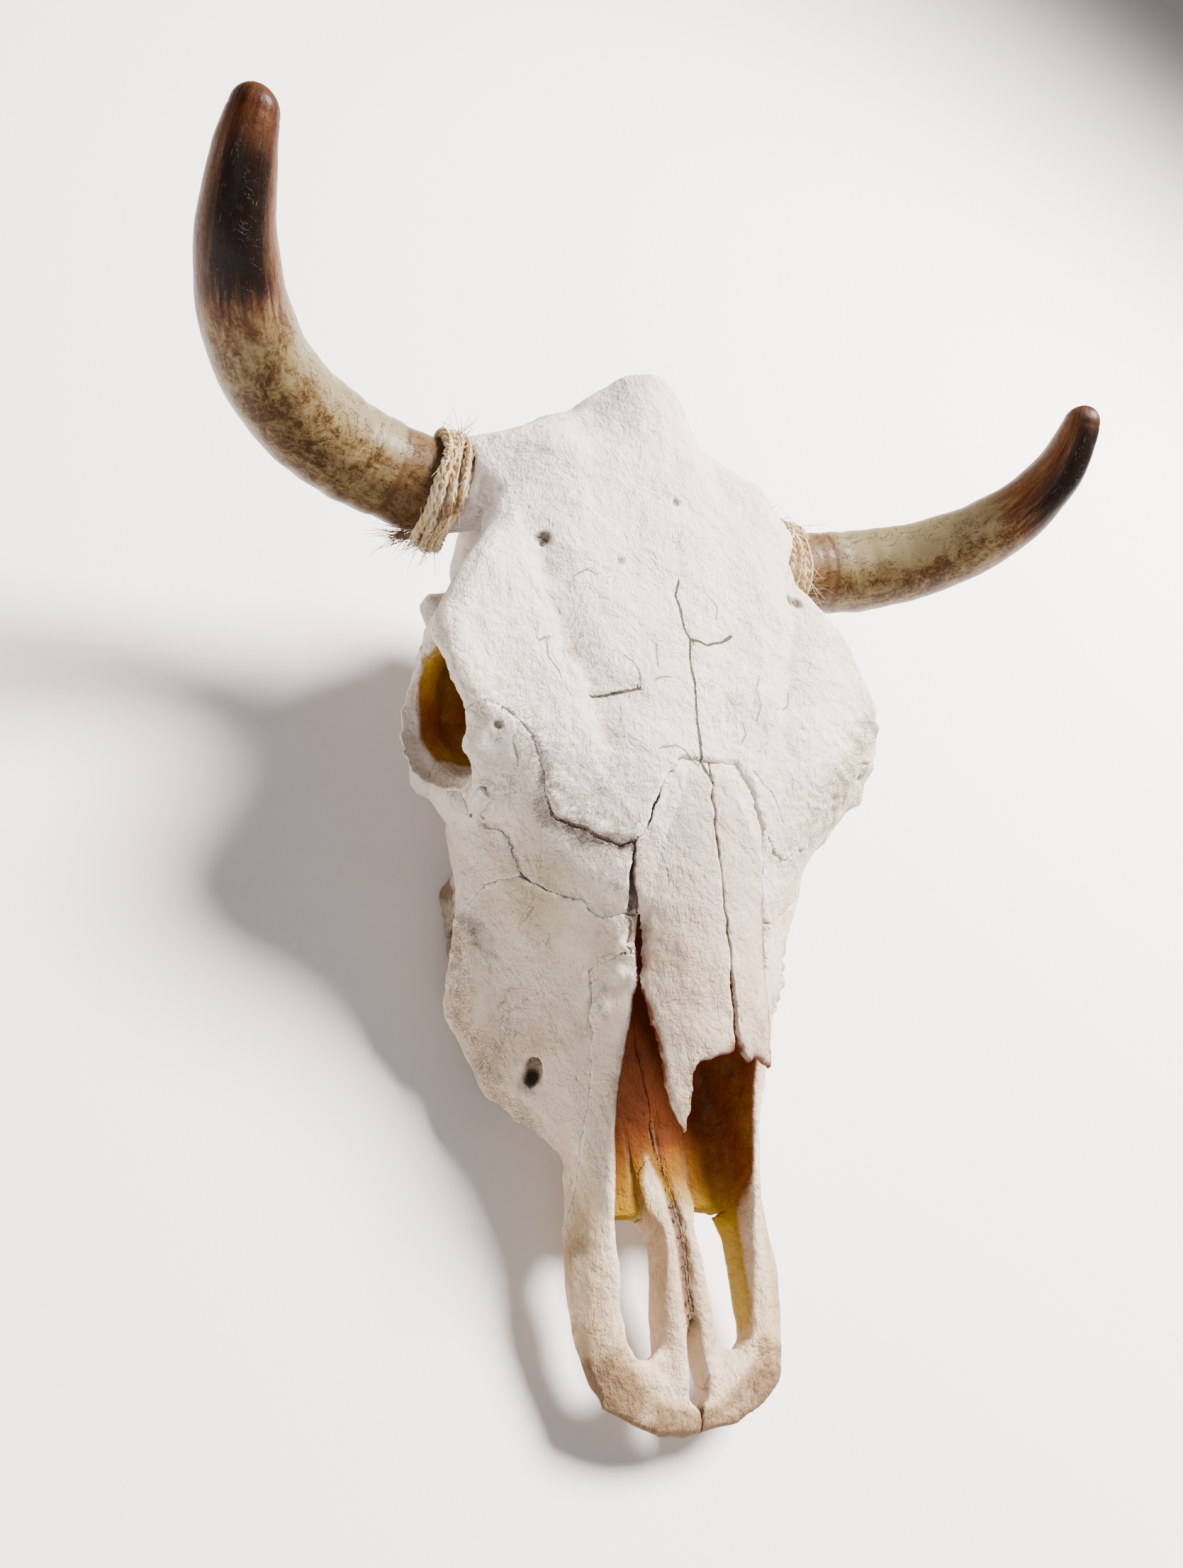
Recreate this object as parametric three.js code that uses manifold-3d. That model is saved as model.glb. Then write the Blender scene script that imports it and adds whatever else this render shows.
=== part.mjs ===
// A life-size cow skull without its lower jaw, lying on its molars and jugular processes, built bone by bone.
// Millimetres, +Z up. The muzzle points to -Y, the poll to +Y, and the animal's left side is +X.
// The skull is first shaped as one signed-distance field, then meshed, thinned and parted along its sutures.
import * as THREE from "three";
import { mergeVertices } from "three/addons/utils/BufferGeometryUtils.js";
import Module from "manifold-3d";

const wasm = await Module();
wasm.setup();

// ---------------------------------------------------------------- driving dimensions
const POLL_Y = 238; // the ridge between the horns
const MUZZLE_Y = -229; // the front of the incisive bones
const CHEEK_EDGE_Z = 18; // the edge that the cheek teeth grow from
const SUTURE_GAP = 0.6; // width of the thin cuts between bones
const FIT_GAP = 0.3; // clearance between pieces that touch
const HORN_CURVE = new THREE.CubicBezierCurve3(
  new THREE.Vector3(110.7, 188.7, 136.2),
  new THREE.Vector3(197.9, 205.8, 136.8),
  new THREE.Vector3(236.3, 156.3, 225.6),
  new THREE.Vector3(226.8, 205.9, 283.8),
); // the left horn's centre line
const HORN_FROM = -0.022; // the sheath starts this far before the curve's own start
const ROPE = { start: -13.5, turns: 4, strand: 2.5, bore: 24.6 };

// ---------------------------------------------------------------- small maths
const clamp = (v, low, high) => Math.min(high, Math.max(low, v));
const mix = (a, b, t) => a + (b - a) * t;
const smoothStep = (low, high, v) => {
  const t = clamp((v - low) / (high - low), 0, 1);
  return t * t * (3 - 2 * t);
};

// A smooth union, and with it a smooth cut and a smooth overlap, that rounds over k millimetres.
const join = (a, b, k) => {
  const h = clamp(0.5 + (0.5 * (b - a)) / k, 0, 1);
  return mix(b, a, h) - k * h * (1 - h);
};
const overlap = (a, b, k) => -join(-a, -b, k);
const carve = (a, hole, k) => overlap(a, -hole, k);

// A smooth function through [place, value] pairs, flat beyond its ends.
function through(...pairs) {
  const at = pairs.map((p) => p[0]);
  const value = pairs.map((p) => p[1]);
  const last = pairs.length - 1;
  const slope = pairs.map((_, i) => {
    const before = Math.max(0, i - 1);
    const after = Math.min(last, i + 1);
    return (value[after] - value[before]) / (at[after] - at[before]);
  });
  return (v) => {
    if (v <= at[0]) return value[0];
    if (v >= at[last]) return value[last];
    let i = 0;
    while (v > at[i + 1]) i++;
    const span = at[i + 1] - at[i];
    const t = (v - at[i]) / span;
    const s = t * t * (3 - 2 * t);
    const bend = t * (1 - t) * span;
    return (
      mix(value[i], value[i + 1], s) +
      bend * ((1 - t) * slope[i] - t * slope[i + 1])
    );
  };
}

const ball = (x, y, z, c, r) => {
  const near = Math.hypot((x - c[0]) / r[0], (y - c[1]) / r[1], (z - c[2]) / r[2]);
  const far = Math.hypot(
    (x - c[0]) / r[0] ** 2,
    (y - c[1]) / r[1] ** 2,
    (z - c[2]) / r[2] ** 2,
  );
  return far < 1e-9 ? -Math.min(...r) : (near * (near - 1)) / far;
};

// A round bar from a to b; each end is [x, y, z, radius].
const bar = (x, y, z, a, b) => {
  const dx = b[0] - a[0];
  const dy = b[1] - a[1];
  const dz = b[2] - a[2];
  const along = (x - a[0]) * dx + (y - a[1]) * dy + (z - a[2]) * dz;
  const t = clamp(along / (dx * dx + dy * dy + dz * dz), 0, 1);
  const off = Math.hypot(x - a[0] - t * dx, y - a[1] - t * dy, z - a[2] - t * dz);
  return off - mix(a[3], b[3], t);
};

// A chain of round bars.
const chain = (x, y, z, stops) => {
  let d = Infinity;
  for (let i = 0; i + 1 < stops.length; i++)
    d = Math.min(d, bar(x, y, z, stops[i], stops[i + 1]));
  return d;
};

const block = (x, y, z, c, half, round) => {
  const qx = Math.abs(x - c[0]) - half[0] + round;
  const qy = Math.abs(y - c[1]) - half[1] + round;
  const qz = Math.abs(z - c[2]) - half[2] + round;
  const outside = Math.hypot(Math.max(qx, 0), Math.max(qy, 0), Math.max(qz, 0));
  return outside + Math.min(Math.max(qx, qy, qz), 0) - round;
};

// ---------------------------------------------------------------- profiles of the skull, along its length
const roofHeight = through(
  [-135, 103],
  [-100, 114.5],
  [-60, 128],
  [-26, 138],
  [15, 151],
  [43, 157],
  [82, 168],
  [120, 178],
  [156, 188],
  [200, 199],
  [POLL_Y, 206],
);
const roofArch = through(
  [-130, 0.012],
  [-64, 0.0155],
  [-34, 0.0098],
  [-20, 0.0072],
  [0, 0.0053],
  [15, 0.003],
  [30, 0.0012],
  [50, 0.0008],
  [90, 0.0007],
  [120, 0.0009],
  [150, 0.0026],
  [200, 0.003],
);
const roofHalfWidth = through(
  [-60, 40],
  [-20, 58],
  [0, 74],
  [15, 86],
  [30, 101],
  [45, 112],
  [65, 120],
  [85, 122],
  [105, 114],
  [122, 104],
  [140, 95],
  [160, 90],
  [185, 90],
  [205, 84],
  [222, 70],
  [POLL_Y, 40],
);
const aperture = through(
  [-229, 27],
  [-207, 32],
  [-178, 41],
  [-151, 51],
  [-130, 62],
  [-111, 72],
  [-95, 82],
  [-78, 96],
  [-64, 107],
  [-50, 111],
  [-36, 115],
);
const cheekBottom = through(
  [-225, 19],
  [-200, 20],
  [-150, 25],
  [-115, 29],
  [-100, 26],
  [-88, CHEEK_EDGE_Z],
  [60, CHEEK_EDGE_Z],
);
const edgeHalfWidth = through(
  [-229, 14],
  [-222, 29],
  [-213, 40],
  [-200, 46],
  [-175, 49],
  [-150, 47],
  [-118, 41],
  [-104, 45],
  [-92, 59],
  [-76, 69],
  [-60, 74],
  [-45, 77],
  [-20, 75],
  [10, 70],
  [35, 66],
  [50, 58],
);
const crestHeight = through([-90, 34], [-60, 38], [-35, 44], [-15, 58], [10, 74], [45, 80]);
const crestHalfWidth = through(
  [-229, 14],
  [-222, 29],
  [-213, 41],
  [-200, 49],
  [-175, 53],
  [-150, 52],
  [-118, 46],
  [-104, 51],
  [-90, 65],
  [-72, 82],
  [-50, 92],
  [-32, 92],
  [-12, 88],
  [10, 85],
  [45, 88],
);
const wallHalfWidth = through(
  [-170, 49],
  [-130, 46],
  [-105, 49],
  [-80, 57],
  [-50, 66],
  [-34, 71],
  [-20, 78],
  [-10, 84],
  [0, 88],
  [15, 92],
  [45, 97],
);
const topHalfWidth = through(
  [-170, 44],
  [-130, 40],
  [-95, 40],
  [-60, 41],
  [-38, 47],
  [-25, 56],
  [-13, 66],
  [0, 77],
  [15, 87],
  [45, 104],
);
const cavityHalfWidth = through(
  [-222, 4],
  [-212, 16],
  [-200, 27],
  [-180, 33],
  [-150, 35],
  [-126, 35],
  [-95, 34],
  [-60, 33],
  [-20, 26],
  [10, 12],
);
const cavityFloor = through(
  [-229, 32],
  [-190, 32],
  [-150, 33],
  [-110, 40],
  [-40, 46],
  [10, 60],
);
const pollBell = (x) => 50 * (1 - Math.exp(-((x / 45) ** 2)));
const pollRidge = through([0, POLL_Y], [20, 237], [40, 229], [62, 218], [90, 204]);

// Height of the skull's top surface over a point, for x of 0 or more.
function roofAt(x, y) {
  const bend = roofArch(y) * x * x;
  const bell = smoothStep(160, 226, y);
  const groove = supraorbitalGroove(x, y);
  return roofHeight(y) - mix(bend, pollBell(x), bell) - groove;
}

// The groove that runs forward from the supraorbital foramen, and the low swelling beside it.
function supraorbitalGroove(x, y) {
  const centre = mix(46, 74, smoothStep(10, 125, y));
  const depth = 3.4 * smoothStep(0, 50, y) * (1 - smoothStep(118, 150, y));
  const hump = 2.4 * smoothStep(20, 70, y) * (1 - smoothStep(130, 170, y));
  return (
    depth * Math.exp(-(((x - centre) / 9) ** 2)) -
    hump * Math.exp(-(((x - centre + 24) / 15) ** 2))
  );
}

// Half-width of the face at a height: alveolar edge, facial crest, wall and top, joined smoothly.
function faceHalfWidth(y, z) {
  const bottom = cheekBottom(y);
  const top = Math.min(aperture(y), roofHeight(y) - 14);
  const crest = clamp(crestHeight(y), bottom + 4, mix(bottom, top, 0.45));
  const wall = mix(crest, top, 0.5);
  if (z < crest) {
    const t = smoothStep(bottom - 6, crest, z);
    return mix(edgeHalfWidth(y), crestHalfWidth(y), t);
  }
  if (z < wall) {
    const t = smoothStep(crest, wall, z);
    return mix(crestHalfWidth(y), wallHalfWidth(y), t);
  }
  return mix(wallHalfWidth(y), topHalfWidth(y), smoothStep(wall, top, z));
}

// ---------------------------------------------------------------- masses of the skull, one side
function frontalRoof(x, y, z) {
  const top = (z - roofAt(x, y)) * 0.95;
  const thickness = mix(34, 17, smoothStep(40, 100, x));
  const under = roofAt(x, y) - thickness - z;
  const side = (x - roofHalfWidth(y)) * 0.9;
  const back = y - pollRidge(x) - 0.12 * (z - 190);
  const front = -8 - y;
  const slab = overlap(overlap(top, under, 6), side, 12);
  return overlap(overlap(slab, back, 9), front, 6);
}

function face(x, y, z) {
  const low = Math.min(aperture(y), roofAt(x, y) - 1);
  const lid = mix(low, roofAt(x, y), smoothStep(-44, -30, y));
  const top = (z - lid) * 0.8;
  const side = (x - faceHalfWidth(y, z)) * 0.85;
  const under = cheekBottom(y) - z;
  const back = y - mix(64, 40, smoothStep(60, 100, x));
  const front = MUZZLE_Y - y + 0.006 * x * x;
  return overlap(overlap(overlap(overlap(top, side, 7), under, 5), back, 10), front, 6);
}

const orbitRim = [
  [116, 74, 151, 6],
  [111, 55, 146, 6],
  [103, 40, 139, 6.5],
  [96, 28, 126, 6.5],
  [91, 20, 112, 6.5],
  [89, 24, 97, 6.5],
  [95, 40, 85, 7],
  [99, 56, 78, 7],
  [101, 74, 80, 6],
  [104, 90, 92, 5.5],
  [109, 97, 112, 5.5],
  [114, 92, 136, 6],
  [116, 74, 151, 6],
];
const cheekbone = [
  [97, 58, 72, 7],
  [86, 32, 80, 8],
  [82.5, 4, 74, 8.5],
  [82, -22, 56, 8],
  [78, -55, 42, 6],
];
const orbitFloor = [
  [88, 96, 70, 6],
  [86, 76, 70, 7],
  [83, 60, 73, 9],
  [80, 42, 79, 11],
  [78, 20, 86, 14],
];
const zygomaticArch = [
  [98, 58, 69, 7],
  [99, 80, 69, 6.5],
  [99, 104, 76, 6.5],
  [93, 128, 86, 7],
  [80, 146, 92, 8.5],
  [58, 158, 96, 11],
];
const SOCKETS = [
  [60, -86, [6.5, 6, 9]],
  [62, -70, [7, 6.5, 9]],
  [62.5, -53.5, [7.5, 6.5, 8]],
];
const jugular = [
  [50, 200, 74, 12],
  [55, 198, 46, 8.5],
  [55, 195, 20, 6],
  [54, 193, -4, 5],
];

function cranium(x, y, z) {
  let d = ball(x, y, z, [0, 150, 120], [55, 88, 60]);
  const nape = block(x, y, z, [0, 200, 132], [64, 22, 50], 18);
  d = join(d, nape, 16);
  d = join(d, bar(x, y, z, [66, 196, 130, 16], [60, 192, 84, 13]), 12);
  d = join(d, bar(x, y, z, [0, 212, 70, 15], [0, 120, 68, 13]), 10);
  d = join(d, bar(x, y, z, [0, 130, 70, 13], [0, 66, 84, 12]), 10);
  d = join(d, bar(x, y, z, [0, 220, 152, 10], [0, 221, 122, 6]), 12);
  d = join(d, ball(x, y, z, [25, 224, 84], [16, 14, 20]), 8);
  d = join(d, chain(x, y, z, jugular), 9);
  d = join(d, ball(x, y, z, [40, 164, 64], [12, 19, 17]), 7);
  d = join(d, chain(x, y, z, zygomaticArch), 9);
  d = join(d, ball(x, y, z, [78, 150, 92], [22, 13, 9]), 8);
  return d;
}

// Pterygoid plates and palatine walls, which hang round the back of the nasal passage.
function throatWall(x, y, z) {
  const plate = block(x, y, z, [25, 74, 56], [4.5, 36, 30], 4);
  const hook = bar(x, y, z, [27, 100, 60, 6], [30, 104, 30, 3.5]);
  return join(join(plate, hook, 8), bar(x, y, z, [42, 130, 84, 9], [26, 96, 74, 7]), 10);
}

function skull(side, y, z) {
  const x = Math.abs(side);
  let d = join(frontalRoof(x, y, z), cranium(x, y, z), 14);
  d = join(d, bar(x, y, z, [56, 184, 164, 24], [100, 187, 139, 22]), 10);
  d = join(d, bar(x, y, z, [100, 187, 139, 22], [112, 189, 136, 21.5]), 4);
  let front = join(face(x, y, z), chain(x, y, z, cheekbone), 9);
  front = join(front, chain(x, y, z, orbitFloor), 9);
  // The vault of the palate, between the rows of teeth.
  const vault = block(x, y, z, [0, -22, 14], [43, 92, 14], 9);
  front = carve(front, vault, 8);
  d = join(d, front, 8);
  d = join(d, throatWall(x, y, z), 6);
  d = join(d, chain(x, y, z, orbitRim), 9);
  // The eye socket, and the gap behind it that the jaw muscle filled.
  const socket = Math.min(
    bar(x, y, z, [134, 58, 113, 34], [96, 62, 116, 28]),
    bar(x, y, z, [96, 62, 116, 28], [66, 84, 112, 16]),
  );
  d = carve(d, socket, 5);
  const fossa = Math.min(
    bar(x, y, z, [80, 100, 118, 21], [80, 134, 128, 18]),
    bar(x, y, z, [80, 134, 128, 18], [84, 168, 112, 13]),
  );
  d = carve(d, fossa, 8);
  d = carve(d, bar(x, y, z, [73, 96, 100, 17], [72, 116, 40, 19]), 8);
  // The nasal passage, open at its front and top.
  const lid = Math.max(aperture(y) + 20, roofAt(x, y) - 5);
  const wall = overlap(x - cavityHalfWidth(y), cavityFloor(y) - z, 10);
  const passage = overlap(overlap(wall, z - Math.max(lid, 60), 4), y - 6, 10);
  const underRoof = y > -38 ? z - (roofAt(x, y) - 7) : -1e3;
  d = carve(d, overlap(passage, underRoof, 8), 3);
  // The paired palatine processes down its middle, the fissures beside them and the one at the front.
  d = join(d, bar(x, y, z, [6.5, -204, 29, 6], [5.5, -106, 47, 8]), 4);
  const flat = (a, b) => bar(x, y, 0, [a[0], a[1], 0, a[2]], [b[0], b[1], 0, b[2]]);
  d = carve(d, flat([20.5, -153, 12.5], [22.5, -190, 8.5]), 3);
  d = carve(d, flat([0, -188, 2.5], [0, -214, 5]), 2);
  d = carve(d, flat([0, -228, 1.5], [0, -236, 6]), 2);
  for (const [sx, sy, size] of SOCKETS) d = carve(d, ball(x, y, z, [sx, sy, 18], size), 2);
  // The choana, behind the palate, and the hole for the spinal cord.
  d = carve(d, bar(x, y, z, [0, 84, 50, 17], [0, 20, 62, 16]), 6);
  d = carve(d, bar(x, y, z, [0, 250, 98, 15], [0, 188, 104, 17]), 5);
  // Foramina: above and below the eye, and the ear passage.
  d = carve(d, bar(x, y, z, [74, 121, 190, 3.5], [70, 127, 160, 3]), 2);
  d = carve(d, bar(x, y, z, [66, -92, 48, 5], [52, -66, 54, 4.5]), 3);
  d = carve(d, bar(x, y, z, [100, 182, 96, 5], [60, 178, 88, 4]), 2);
  return d;
}

// ---------------------------------------------------------------- meshing a distance field
// Marching tetrahedra over a box: closed and orderly wherever the field is.
function meshField(field, low, high, step) {
  const count = [0, 1, 2].map((i) => Math.ceil((high[i] - low[i]) / step) + 1);
  const [nx, ny, nz] = count;
  const value = new Float64Array(nx * ny * nz);
  for (let k = 0, n = 0; k < nz; k++)
    for (let j = 0; j < ny; j++)
      for (let i = 0; i < nx; i++, n++) {
        const d = field(low[0] + i * step, low[1] + j * step, low[2] + k * step);
        const near = 0.04 * step; // keeps crossings off the grid's own points
        value[n] = Math.abs(d) < near ? (d < 0 ? -near : near) : d;
      }
  const offset = [0, 1, nx, nx + 1, nx * ny, nx * ny + 1, nx * ny + nx, nx * ny + nx + 1];
  const tets = [
    [0, 1, 3, 7, 1],
    [0, 1, 5, 7, -1],
    [0, 2, 3, 7, -1],
    [0, 2, 6, 7, 1],
    [0, 4, 5, 7, 1],
    [0, 4, 6, 7, -1],
  ];
  const place = [];
  const faces = [];
  const made = new Map();
  const crossing = (cell, a, b) => {
    const [lo, hi] = a < b ? [a, b] : [b, a];
    const from = cell + offset[lo];
    const key = from * 8 + (hi ^ lo);
    const known = made.get(key);
    if (known !== undefined) return known;
    const to = cell + offset[hi];
    const t = value[from] / (value[from] - value[to]);
    const point = (n) => [n % nx, Math.floor(n / nx) % ny, Math.floor(n / (nx * ny))];
    const p = point(from);
    const q = point(to);
    p.forEach((v, i) => place.push(low[i] + step * mix(v, q[i], t)));
    made.set(key, place.length / 3 - 1);
    return place.length / 3 - 1;
  };
  for (let k = 0; k + 1 < nz; k++)
    for (let j = 0; j + 1 < ny; j++)
      for (let i = 0; i + 1 < nx; i++) {
        const cell = (k * ny + j) * nx + i;
        let inside = 0;
        for (const o of offset) inside += value[cell + o] < 0 ? 1 : 0;
        if (inside === 0 || inside === 8) continue;
        for (const tet of tets) marchTet(tet, cell);
      }

  function marchTet(tet, cell) {
    const order = [];
    for (let v = 0; v < 4; v++) if (value[cell + offset[tet[v]]] < 0) order.push(v);
    const within = order.length;
    if (within === 0 || within === 4) return;
    for (let v = 0; v < 4; v++) if (value[cell + offset[tet[v]]] >= 0) order.push(v);
    let sign = tet[4];
    for (let a = 0; a < 4; a++)
      for (let b = a + 1; b < 4; b++) if (order[a] > order[b]) sign = -sign;
    const [a, b, c, d] = order.map((v) => tet[v]);
    const cut = (p, q) => crossing(cell, p, q);
    const push = (p, q, r) => faces.push(...(sign > 0 ? [p, q, r] : [p, r, q]));
    if (within === 1) push(cut(a, b), cut(a, c), cut(a, d));
    else if (within === 3) push(cut(a, d), cut(b, d), cut(c, d));
    else {
      push(cut(a, c), cut(a, d), cut(b, d));
      push(cut(a, c), cut(b, d), cut(b, c));
    }
  }
  return { place, faces };
}

// Thins a closed mesh to about the wanted number of triangles: each step merges the two ends of the
// edge whose loss moves the surface least, as its quadric error says, and keeps the surface closed.
function thin({ place, faces }, wanted) {
  const total = place.length / 3;
  const pos = Float64Array.from(place);
  const quadric = new Float64Array(total * 10);
  const around = Array.from({ length: total }, () => new Set());
  const tri = [];
  for (let i = 0; i < faces.length; i += 3) tri.push([faces[i], faces[i + 1], faces[i + 2]]);
  const normal = (a, b, c) => {
    const u = [0, 1, 2].map((i) => b[i] - a[i]);
    const v = [0, 1, 2].map((i) => c[i] - a[i]);
    return [u[1] * v[2] - u[2] * v[1], u[2] * v[0] - u[0] * v[2], u[0] * v[1] - u[1] * v[0]];
  };
  const at = (v) => [pos[3 * v], pos[3 * v + 1], pos[3 * v + 2]];
  const addPlane = (v, n, p, weight) => {
    const d = -(n[0] * p[0] + n[1] * p[1] + n[2] * p[2]);
    const q = [...n, d];
    let k = 10 * v;
    for (let i = 0; i < 4; i++) for (let j = i; j < 4; j++) quadric[k++] += weight * q[i] * q[j];
  };
  tri.forEach((t, f) => {
    const [a, b, c] = t.map(at);
    const n = normal(a, b, c);
    const size = Math.hypot(...n);
    t.forEach((v) => around[v].add(f));
    if (size < 1e-12) return;
    const unit = n.map((x) => x / size);
    t.forEach((v) => addPlane(v, unit, a, size));
  });
  const HOLD = 2e-3; // a faint pull to its own place keeps flat stretches evenly meshed
  for (let v = 0; v < total; v++)
    [0, 1, 2].forEach((i) => addPlane(v, [0, 1, 2].map((j) => (i === j ? 1 : 0)), at(v), HOLD));

  const cost = (q, p) => {
    const [x, y, z] = p;
    return (
      q[0] * x * x + 2 * q[1] * x * y + 2 * q[2] * x * z + 2 * q[3] * x +
      q[4] * y * y + 2 * q[5] * y * z + 2 * q[6] * y +
      q[7] * z * z + 2 * q[8] * z + q[9]
    );
  };
  const best = (u, v) => {
    const q = [];
    for (let i = 0; i < 10; i++) q.push(quadric[10 * u + i] + quadric[10 * v + i]);
    const m = new THREE.Matrix3().set(q[0], q[1], q[2], q[1], q[4], q[5], q[2], q[5], q[7]);
    const a = at(u);
    const b = at(v);
    const middle = a.map((c, i) => (c + b[i]) / 2);
    const length = Math.hypot(...a.map((c, i) => c - b[i]));
    const choices = [a, b, middle];
    if (Math.abs(m.determinant()) > 1e-9) {
      const s = new THREE.Vector3(-q[3], -q[6], -q[8]).applyMatrix3(m.invert()).toArray();
      if (Math.hypot(...s.map((c, i) => c - middle[i])) < 2 * length) choices.push(s);
    }
    let chosen = null;
    for (const p of choices) {
      const c = cost(q, p);
      if (!chosen || c < chosen.c) chosen = { c, p };
    }
    return chosen;
  };

  const version = new Int32Array(total);
  const heap = [];
  const rise = (i) => {
    while (i > 0 && heap[(i - 1) >> 1].c > heap[i].c) {
      const up = (i - 1) >> 1;
      [heap[i], heap[up]] = [heap[up], heap[i]];
      i = up;
    }
  };
  const take = () => {
    const first = heap[0];
    const end = heap.pop();
    if (heap.length) {
      heap[0] = end;
      for (let i = 0; ; ) {
        let low = i;
        for (const c of [2 * i + 1, 2 * i + 2])
          if (c < heap.length && heap[c].c < heap[low].c) low = c;
        if (low === i) break;
        [heap[i], heap[low]] = [heap[low], heap[i]];
        i = low;
      }
    }
    return first;
  };
  const offer = (u, v) => {
    const { c, p } = best(u, v);
    heap.push({ c, p, u, v, stamp: version[u] + version[v] });
    rise(heap.length - 1);
  };
  const neighbours = (v) => {
    const found = new Set();
    for (const f of around[v]) for (const w of tri[f]) if (w !== v) found.add(w);
    return found;
  };
  for (let v = 0; v < total; v++) for (const w of neighbours(v)) if (v < w) offer(v, w);

  const gone = new Uint8Array(total);
  let left = tri.length;
  while (left > wanted && heap.length) {
    const { p, u, v, stamp } = take();
    if (gone[u] || gone[v] || stamp !== version[u] + version[v]) continue;
    const nu = neighbours(u);
    const nv = neighbours(v);
    let shared = 0;
    for (const w of nu) if (nv.has(w)) shared++;
    if (shared !== 2 || !nu.has(v)) continue;
    if (turnsOver(u, v, p) || turnsOver(v, u, p)) continue;
    for (const f of [...around[v]]) {
      if (tri[f].includes(u)) {
        tri[f].forEach((w) => around[w].delete(f));
        tri[f] = null;
        left--;
      } else {
        tri[f] = tri[f].map((w) => (w === v ? u : w));
        around[u].add(f);
      }
    }
    gone[v] = 1;
    p.forEach((c, i) => (pos[3 * u + i] = c));
    for (let i = 0; i < 10; i++) quadric[10 * u + i] += quadric[10 * v + i];
    const ring = neighbours(u);
    version[u] += 1000003;
    for (const w of ring) offer(u, w);
  }

  // Whether moving u to p, with v merged into it, would turn one of u's faces over.
  function turnsOver(u, v, p) {
    for (const f of around[u]) {
      if (tri[f].includes(v)) continue;
      const before = normal(...tri[f].map(at));
      const after = normal(...tri[f].map((w) => (w === u ? p : at(w))));
      const dot = before[0] * after[0] + before[1] * after[1] + before[2] * after[2];
      if (dot <= 0.15 * Math.hypot(...before) * Math.hypot(...after)) return true;
    }
    return false;
  }

  const number = new Map();
  const kept = [];
  const index = [];
  for (const t of tri)
    if (t)
      for (const v of t) {
        if (!number.has(v)) {
          number.set(v, kept.length / 3);
          kept.push(...at(v));
        }
        index.push(number.get(v));
      }
  return { place: kept, faces: index };
}

// ---------------------------------------------------------------- solids
const toSolid = ({ place, faces }) =>
  new wasm.Manifold(
    new wasm.Mesh({
      numProp: 3,
      vertProperties: Float32Array.from(place),
      triVerts: Uint32Array.from(faces),
    }),
  );

function geometryToSolid(geometry) {
  const bare = geometry.index ? geometry.toNonIndexed() : geometry.clone();
  bare.deleteAttribute("normal");
  bare.deleteAttribute("uv");
  const merged = mergeVertices(bare, 1e-3);
  return toSolid({ place: merged.attributes.position.array, faces: merged.index.array });
}

function solidToGeometry(solid) {
  const mesh = solid.getMesh();
  const position = new Float32Array((mesh.vertProperties.length / mesh.numProp) * 3);
  for (let i = 0; i < position.length / 3; i++)
    for (let j = 0; j < 3; j++) position[3 * i + j] = mesh.vertProperties[i * mesh.numProp + j];
  return new THREE.BufferGeometry()
    .setAttribute("position", new THREE.BufferAttribute(position, 3))
    .setIndex(new THREE.BufferAttribute(mesh.triVerts.slice(), 1));
}

const largestPiece = (solid) =>
  solid.decompose().reduce((a, b) => (b.volume() > a.volume() ? b : a));

// A straight-sided solid over an outline in plan ([x, y] points) or in side view ([y, z] points).
function prism(outline, view, low, high) {
  const shape = new THREE.Shape(outline.map(([u, v]) => new THREE.Vector2(u, v)));
  const body = new THREE.ExtrudeGeometry(shape, { depth: high - low, bevelEnabled: false });
  body.translate(0, 0, low);
  if (view === "side")
    body.applyMatrix4(new THREE.Matrix4().set(0, 0, 1, 0, 1, 0, 0, 0, 0, 1, 0, 0, 0, 0, 0, 1));
  return geometryToSolid(body);
}

// An outline moved outwards by a distance, with mitred corners.
function grow(outline, distance) {
  const count = outline.length;
  let area = 0;
  outline.forEach(([x, y], i) => {
    const [nx, ny] = outline[(i + 1) % count];
    area += x * ny - nx * y;
  });
  const turn = Math.sign(area);
  const outward = (a, b) => {
    const length = Math.hypot(b[0] - a[0], b[1] - a[1]);
    return [(turn * (b[1] - a[1])) / length, (-turn * (b[0] - a[0])) / length];
  };
  return outline.map((p, i) => {
    const m = outward(outline[(i + count - 1) % count], p);
    const n = outward(p, outline[(i + 1) % count]);
    const reach = distance / Math.max(0.35, 1 + m[0] * n[0] + m[1] * n[1]);
    return [p[0] + reach * (m[0] + n[0]), p[1] + reach * (m[1] + n[1])];
  });
}

const mirrored = (outline, side) => outline.map(([x, y]) => [side * x, y]);
const FAR = 300;

// The space of one bone: over its plan outline and within its side outline, where it has them.
function region({ plan, side }, hand, extra) {
  let space = null;
  if (plan) space = prism(grow(mirrored(plan, hand), extra), "plan", -FAR, FAR);
  if (side) {
    const cut = prism(grow(side, extra), "side", -FAR, FAR);
    space = space ? space.intersect(cut) : cut;
  }
  return space;
}

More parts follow.
